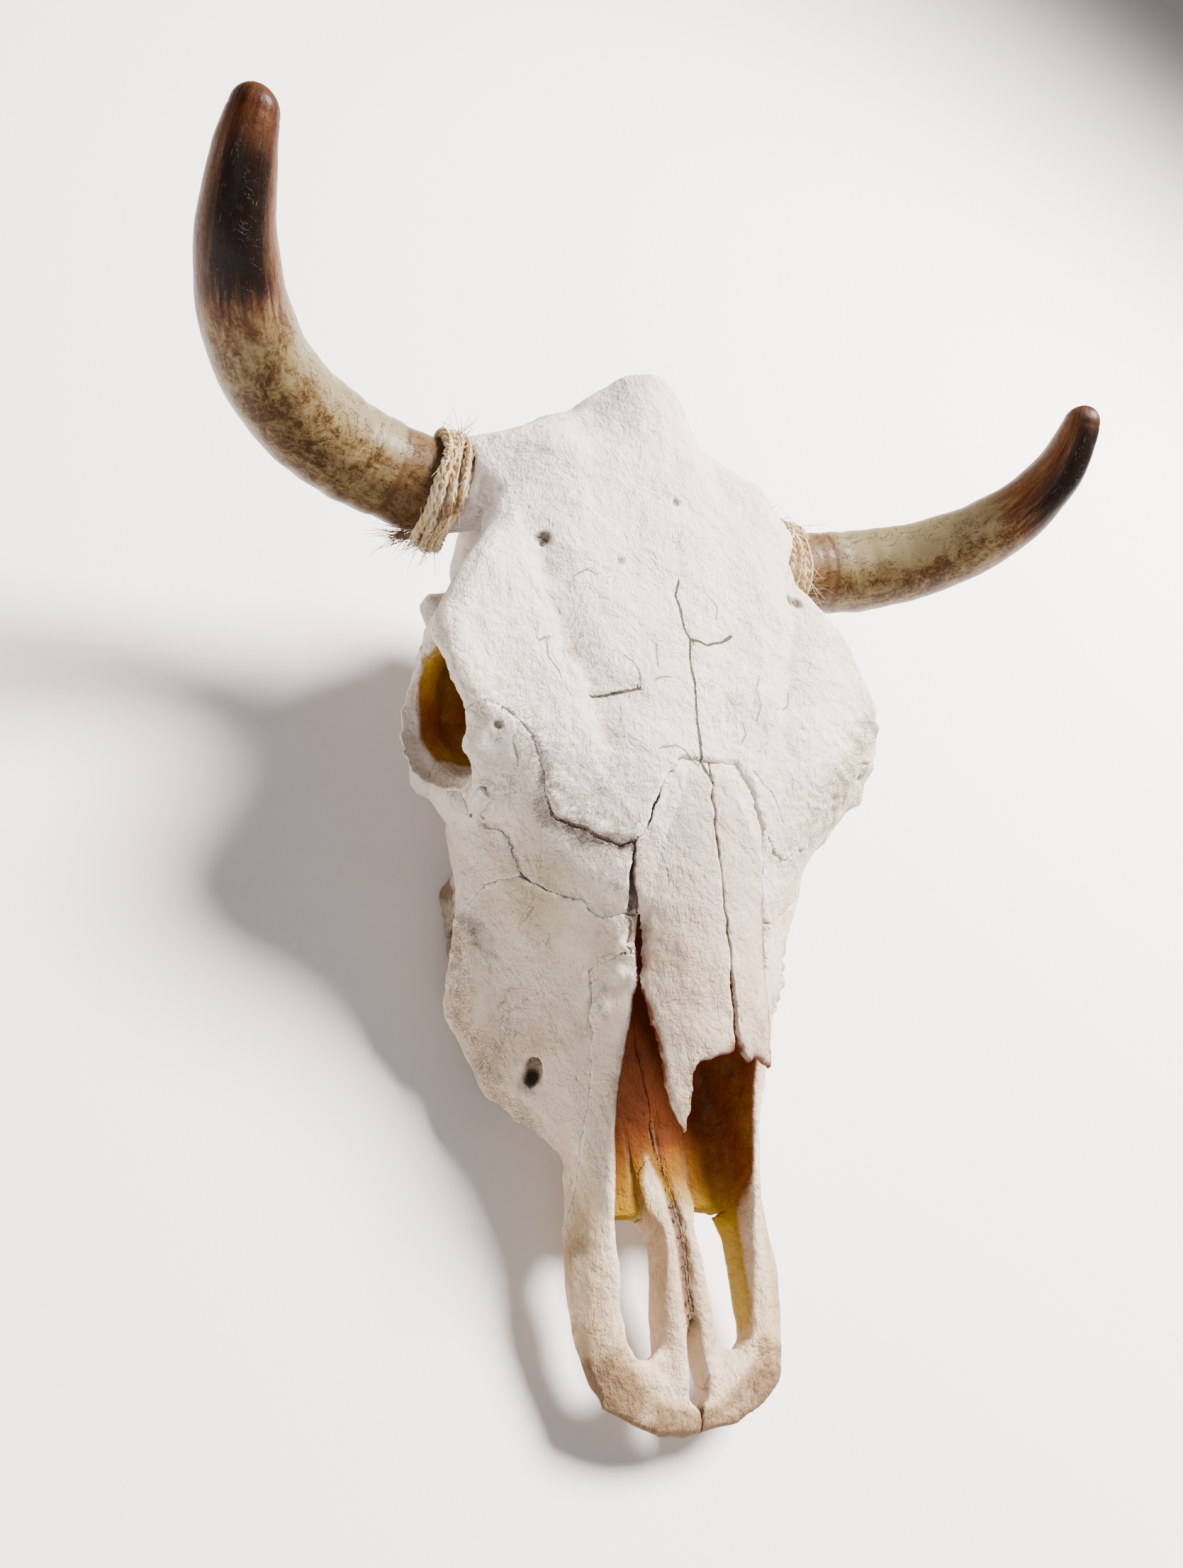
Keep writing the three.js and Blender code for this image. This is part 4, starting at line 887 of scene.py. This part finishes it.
# %% Sockets that can be added and multiplied
class Wire:
    def __init__(self, tree, socket=None):
        self.tree, self.socket = tree, socket

    def node(self, kind, settings=None, sockets=None, out=0):
        """Adds a node: its settings first, then values or wires for its sockets."""
        made = self.tree.nodes.new("ShaderNode" + kind)
        for key, value in (settings or {}).items():
            if key == "stops":
                while len(made.color_ramp.elements) < len(value):
                    made.color_ramp.elements.new(0.5)
                for stop, (place, color) in zip(made.color_ramp.elements, value):
                    stop.position, stop.color = place, (*color, 1)
            else:
                setattr(made, key, value)
        for key, value in (sockets or {}).items():
            if isinstance(value, Wire):
                self.tree.links.new(value.socket, made.inputs[key])
            else:
                made.inputs[key].default_value = value
        return Wire(self.tree, made.outputs[out])

    def maths(self, operation, a, b=0.0):
        return self.node("Math", {"operation": operation}, {0: a, 1: b})

    def __add__(self, other): return self.maths("ADD", self, other)
    def __radd__(self, other): return self.maths("ADD", other, self)
    def __sub__(self, other): return self.maths("SUBTRACT", self, other)
    def __rsub__(self, other): return self.maths("SUBTRACT", other, self)
    def __mul__(self, other): return self.maths("MULTIPLY", self, other)
    def __rmul__(self, other): return self.maths("MULTIPLY", other, self)
    def __abs__(self): return self.maths("ABSOLUTE", self)

    def rise(self, low, high):
        """0 below low, 1 above high and smooth between; falls when low is above high."""
        flip = low > high
        low, high = min(low, high), max(low, high)
        sockets = {"Value": self, "From Min": low, "From Max": high}
        sockets |= {"To Min": 1.0 if flip else 0.0, "To Max": 0.0 if flip else 1.0}
        return self.node("MapRange", {"interpolation_type": "SMOOTHSTEP"}, sockets)

    def between(self, a, b):
        """Colour a where this is 0 and colour b where it is 1."""
        a, b = (c if isinstance(c, Wire) else (*c, 1) for c in (a, b))
        return self.node("Mix", {"data_type": "RGBA"}, {0: self, 6: a, 7: b}, out=2)

    def ramp(self, *stops):
        return self.node("ValToRGB", {"stops": stops}, {0: self})

    def stretched(self, factors):
        return self.node("VectorMath", {"operation": "MULTIPLY"}, {0: self, 1: factors})

    def noise(self, scale, detail=4.0, rough=0.55, warp=0.0):
        sockets = {"Vector": self, "Scale": scale, "Detail": detail, "Roughness": rough}
        return self.node("TexNoise", None, sockets | {"Distortion": warp})

    def cells(self, scale, feature="F1"):
        return self.node("TexVoronoi", {"feature": feature}, {"Vector": self, "Scale": scale})

    def number(self, name):
        return self.node("Attribute", {"attribute_name": name}, out=2)

    def vector(self, name):
        return self.node("Attribute", {"attribute_name": name}, out=1)

    def bump(self, depth, strength=1.0, under=None):
        sockets = {"Height": self, "Distance": depth, "Strength": strength}
        if under:
            sockets["Normal"] = under
        return self.node("Bump", None, sockets)


def new_material(name, constants):
    """A material with its shader's fixed values set, and a wire to start from."""
    made = bpy.data.materials.new(name)
    made.use_nodes = True
    shader = made.node_tree.nodes["Principled BSDF"]
    for key, value in constants.items():
        shader.inputs[key].default_value = value
    return made, shader, Wire(made.node_tree)


def feed(shader, **wires):
    for key, wire in wires.items():
        wire.tree.links.new(wire.socket, shader.inputs[key.replace("_", " ")])


def painted(color, *layers):
    """Lays each layer's tint over the colour where its mask is 1."""
    for mask, tint in layers:
        color = mask.between(color, tint)
    return color


print("wires ready")

# %% [markdown]
# Bone: a chalky, nearly matt white that drifts between warm and cool, with scratches, pores and
# hairline cracks. Cracks are a signed distance on the points, so that the material can draw them
# thinner than the mesh is fine.

# %% Bone material
CHALK_WARM = (0.78, 0.68, 0.585)
CHALK_COOL = (0.69, 0.625, 0.595)
CHALK_MUZZLE = (0.64, 0.48, 0.33)
BEIGE = (0.54, 0.39, 0.26)
CREAM = (0.54, 0.38, 0.22)
OLIVE = (0.46, 0.37, 0.19)
EARTH = (0.15, 0.083, 0.04)
CREVICE = (0.03, 0.017, 0.01)
SUTURE = (0.13, 0.075, 0.045)
# Amber from lit near the openings to almost black deep inside: painted shade.
AMBER_SHADE_STOPS = ((0.0, (0.44, 0.31, 0.08)), (0.25, (0.32, 0.185, 0.004)), (0.5, (0.21, 0.088, 0.001)),
               (0.75, (0.12, 0.024, 0.0005)), (1.0, (0.045, 0.007, 0.0004)))


def bone_material():
    made, shader, start = new_material("bone", {
        "IOR": 1.45, "Specular IOR Level": 0.28, "Emission Strength": 1.0})
    place = start.node("TexCoord", out="Object")
    broad = place.noise(14, 3, 0.5)
    patch = place.noise(42, 4, 0.6, 0.4)
    fine = place.noise(260, 5, 0.65)
    dust = place.noise(1500, 3, 0.6)
    scratch = place.stretched((1.0, 0.22, 0.6)).noise(420, 3, 0.7, 1.2)
    pores = place.cells(420)
    warmth, amber, warm, brown, seam, rim, hollow, crumble, near = (
        start.number(name) for name in ("warmth", "amber", "warm", "brown", "seam", "rim",
                                        "hollow", "crumble", "crack_near"))
    beige = place.noise(19, 4, 0.6, 0.5).rise(0.46, 0.68) * (0.25 + 0.6 * warmth)
    glow = (amber + 0.35 * (patch - 0.5)) * amber.rise(0.02, 0.25)
    amber_color = (start.number("amber_depth") + 0.55 * (patch - 0.5)).ramp(*AMBER_SHADE_STOPS)
    # Darker where the surface lies below its surroundings: painted shade in creases.
    crease_shade = (hollow * 2.0 + 0.6 * (fine - 0.5)).rise(0.05, 0.8) * (1 - 0.7 * amber)
    # Paler on ridges: a painted highlight.
    ridge_highlight = (0 - hollow).rise(0.12, 0.55) * (1 - amber) * (1 - 0.9 * brown) * 0.4
    flakes = place.stretched((1.0, 1.6, 1.0)).noise(190, 3, 0.6, 1.6)
    split = (abs(flakes - 0.5)).rise(0.035, 0.008) * crumble.rise(0.3, 0.85)
    speck = (fine.rise(0.62, 0.74) * 0.22) * (1 - amber)
    spots = pores.rise(0.13, 0.04) * place.noise(60, 2, 0.5).rise(0.56, 0.66)
    wobble = (place.noise(700, 3, 0.6) - 0.5) * 1.5
    width = place.noise(120, 2, 0.5)
    line = abs(start.number("crack_side") + wobble)
    crack = (line - width * 1.1 * near).rise(0.2, -0.08) * near.rise(0.12, 0.75)
    hair = (abs(place.stretched((1.0, 0.35, 0.8)).noise(55, 6, 0.6, 0.6) - 0.5)).rise(0.006, 0.0015)
    hair = hair * place.noise(30, 2, 0.5).rise(0.55, 0.62) * (1 - amber)
    tooth = start.number("tooth").rise(0.3, 0.8)
    enamel = patch.rise(0.4, 0.6).between((0.62, 0.52, 0.36), (0.30, 0.2, 0.11))
    color = painted(
        (broad + 0.4 * patch).rise(0.52, 0.88).between(CHALK_WARM, CHALK_COOL),
        (warmth * (0.45 + 0.9 * patch), CHALK_MUZZLE),
        (beige, BEIGE),
        ((warm * (0.35 + patch)).rise(0.05, 1.25), OLIVE),
        # brown: soil stain, and painted shade where shut in and at the muzzle's midline
        ((brown * (0.35 + patch)).rise(0.12, 0.9), CREAM),
        ((brown * (patch + 0.5 * fine) * 1.05).rise(0.38, 1.1), EARTH),
        # amber light through thin bone painted into the colour, darker deeper in as painted shade
        (glow.rise(0.0, 0.9), amber_color),
        (rim * fine.rise(0.42, 0.62) * 0.75, OLIVE),
        # painted shade in creases
        (crease_shade * 0.5, (0.40, 0.30, 0.21)),
        # painted highlight on ridges
        (ridge_highlight, (0.84, 0.78, 0.71)),
        (split * 0.5, (0.30, 0.22, 0.15)),
        (speck, (0.44, 0.38, 0.31)),
        (spots * 0.7, EARTH),
        (hair * 0.45, (0.25, 0.20, 0.16)),
        (crack * 0.92, CREVICE),
        ((seam * 1.1 + 0.5 * (fine - 0.5)).rise(0.45, 0.95) * 0.9, SUTURE),
        (start.number("buried").rise(0.5, 1.0) * seam * 0.9, CREVICE),
        # painted shade in pits, foramina and the groove
        (start.number("pit").rise(0.35, 0.75), CREVICE),
        (tooth, enamel))
    rough = 0.62 + 0.2 * fine + 0.14 * amber - 0.15 * tooth
    normal = dust.bump(0.25 * MM, 0.7)
    normal = fine.bump(2.2 * MM, 0.9, normal)
    normal = patch.bump(7 * MM, 0.7, normal)
    normal = scratch.rise(0.46, 0.6).bump(0.35 * MM, 0.6, normal)
    normal = (pores.rise(0.0, 0.22) - 1.2 * spots).bump(0.22 * MM, 0.5, normal)
    normal = (0 - crack - 0.5 * hair - 0.5 * split).bump(0.9 * MM, 1.0, normal)
    feed(shader, Base_Color=color, Roughness=rough, Normal=normal)
    # Amber places emit a little of their own colour: a painted glow, stronger deeper in.
    painted_glow = amber * amber.rise(0.1, 0.6) * (0.06 + 0.26 * start.number("amber_depth"))
    feed(shader, Emission_Color=painted_glow.between((0, 0, 0), amber_color))
    return made


bone_look = bone_material()
for thing in bones:
    thing.data.materials.clear()
    thing.data.materials.append(bone_look)
print("bone material on", len(bones), "pieces")

# %% [markdown]
# Horn: cream at the base with lengthwise brown mottling, then red-brown, then nearly black, and a
# worn amber tip. The pattern reads a coordinate along the sheath, so it bends with the horn.

# %% Horn material
def horn_material():
    made, shader, start = new_material("horn", {
        "IOR": 1.5, "Specular IOR Level": 0.09, "Coat Roughness": 0.1, "Coat IOR": 1.45})
    place = start.node("TexCoord", out="Object")
    along, facing, across = (start.number(name) for name in ("along", "facing", "across"))
    strip = start.vector("strip")
    lengthwise = strip.stretched((0.12, 1.0, 1.0))
    streak = lengthwise.noise(420, 5, 0.65)
    fine_streak = lengthwise.noise(1500, 4, 0.7)
    blotch = strip.stretched((0.55, 1.0, 1.0)).noise(95, 6, 0.68, 0.8)
    curl = place.noise(230, 5, 0.7, 1.8)
    pale_side = abs(across).rise(0.62, 0.95) * along.rise(0.7, 0.5)
    base = (along + 0.05 * (streak - 0.5)).rise(0.10, 0.045) * (0.3 + blotch)
    mottle = blotch * 0.6 + 0.5 * curl + 0.15 * streak + 0.08 * facing - 0.10 * pale_side
    squiggle = abs(strip.stretched((0.7, 1.0, 1.0)).noise(75, 4, 0.62, 2.2) - 0.5).rise(0.02, 0.004)
    squiggle = squiggle * blotch.rise(0.36, 0.52)
    edge = along + 0.22 * (streak - 0.5) + 0.06 * (blotch - 0.5)
    ring = abs(along + 0.006 * (blotch - 0.5) - 0.07).rise(0.013, 0.002)
    russet = edge.rise(0.55, 0.68)
    band = edge.rise(0.60, 0.70) * (along + 0.12 * (streak - 0.5)).rise(0.98, 0.88)
    band = band * (1.25 - abs(across) * 0.75 + 0.5 * (streak - 0.5)).rise(0.45, 0.85)
    tip = (along + 0.10 * (streak - 0.5)).rise(0.87, 0.98)
    tip_color = (streak * 0.7 + 0.3 * curl).ramp(
        (0.35, (0.07, 0.017, 0.002)), (0.5, (0.04, 0.009, 0.001)), (0.64, (0.008, 0.002, 0.001)))
    worn = (along + 0.03 * (curl - 0.5)).rise(0.975, 1.0)
    scratch = lengthwise.noise(900, 2, 0.8, 0.5).rise(0.66, 0.72)
    color = painted(
        blotch.between((0.25, 0.195, 0.09), (0.09, 0.06, 0.022)),
        (curl.rise(0.45, 0.62) * 0.5, (0.20, 0.155, 0.07)),
        (pale_side * 0.35, (0.23, 0.19, 0.125)),
        (base, (0.09, 0.042, 0.015)),
        (mottle.rise(0.58, 0.74) * 0.9, (0.10, 0.052, 0.017)),
        (mottle.rise(0.69, 0.78) * 0.8, (0.03, 0.012, 0.005)),
        (squiggle * 0.75, (0.045, 0.02, 0.009)),
        (ring * 0.85, (0.07, 0.03, 0.012)),
        (russet * (0.35 + 0.8 * streak), (0.11, 0.03, 0.009)),
        (band * 0.97, (0.005, 0.0025, 0.002)),
        (tip, tip_color),
        (worn * 0.3, (0.14, 0.07, 0.03)),
        (scratch * band * 0.5, (0.34, 0.23, 0.16)))
    rough = 0.28 + 0.2 * curl + 0.25 * scratch + 0.2 * worn
    normal = streak.bump(0.5 * MM, 0.45)
    normal = fine_streak.bump(0.12 * MM, 0.5, normal)
    normal = curl.bump(0.5 * MM, 0.5, normal)
    normal = scratch.bump(0.15 * MM, 0.6, normal)
    normal = (0 - squiggle).bump(0.3 * MM, 0.8, normal)
    coat = 0.06 - 0.04 * worn
    feed(shader, Base_Color=color, Roughness=rough, Normal=normal, Coat_Weight=coat)
    return made


horn_look = horn_material()
for thing in horns.values():
    thing.data.materials.append(horn_look)
print("horn material on", len(horns), "pieces")

# %% [markdown]
# Straw: pale, dry and fibrous. Thin streaks follow the lay of each strand, from a coordinate that
# was stored before the rope was wound.

# %% Straw material
def straw_material():
    made, shader, start = new_material("straw", {
        "IOR": 1.45, "Specular IOR Level": 0.3, "Sheen Weight": 0.25, "Sheen Roughness": 0.5})
    place = start.node("TexCoord", out="Object")
    fibre = start.vector("fibre").stretched((0.1, 1.0, 1.0))
    streak = fibre.noise(3200, 4, 0.7)
    patch = place.noise(130, 3, 0.6)
    color = painted(
        streak.between((0.78, 0.58, 0.31), (0.36, 0.21, 0.08)),
        (patch.rise(0.48, 0.62), streak.between((0.80, 0.70, 0.52), (0.55, 0.42, 0.24))),
        (place.noise(45, 2, 0.5).rise(0.62, 0.7), (0.30, 0.17, 0.07)),
        (start.number("scorched") * 0.85, (0.15, 0.06, 0.018)))
    normal = streak.bump(0.45 * MM, 0.9)
    feed(shader, Base_Color=color, Roughness=0.72 + 0.15 * patch, Normal=normal)
    return made


straw_look = straw_material()
for thing in (*wraps.values(), *straws.values()):
    thing.data.materials.append(straw_look)
print("straw material on", len(wraps) + len(straws), "pieces")

# %% [markdown]
# A pale floor, one big soft light high on the skull's left, a weak one opposite, and a pale
# surround that fills the shadows.

# %% Floor and light
FLOOR_SIZE = 12
SURROUND = {"Color": (0.98, 0.94, 0.90, 1), "Strength": 0.24}


def pale_floor():
    shape = bmesh.new()
    bmesh.ops.create_grid(shape, x_segments=4, y_segments=4, size=FLOOR_SIZE)
    mesh = mesh_from(shape, "floor")
    made, shader, start = new_material("floor", {"Specular IOR Level": 0.2})
    place = start.node("TexCoord", out="Object")
    tone = place.noise(1.3, 2, 0.5)
    color = tone.between((0.88, 0.83, 0.82), (0.84, 0.81, 0.80))
    feed(shader, Base_Color=color, Roughness=0.8 + 0.1 * tone)
    mesh.materials.append(made)
    floor = add_object("floor", mesh)


def soft_light(name, place, aim, size, power, color):
    lamp = bpy.data.lights.new(name, "AREA")
    lamp.shape, lamp.size, lamp.energy, lamp.color = "DISK", size, power, color
    light = bpy.data.objects.new(name, lamp)
    light.location = place
    light.rotation_euler = (Vector(aim) - Vector(place)).to_track_quat("-Z", "Y").to_euler()
    bpy.context.scene.collection.objects.link(light)


pale_floor()
soft_light("key", (1.3, 0.68, 2.15), (0.3, 0.2, 0), 1.2, 450, (1.0, 0.955, 0.91))
soft_light("fill", (-0.9, -1.2, 1.3), (0, 0, 0.1), 1.2, 10, (0.98, 0.98, 1.0))
world = bpy.data.worlds.new("surround")
bpy.context.scene.world = world
world.use_nodes = True
for key, value in SURROUND.items():
    world.node_tree.nodes["Background"].inputs[key].default_value = value
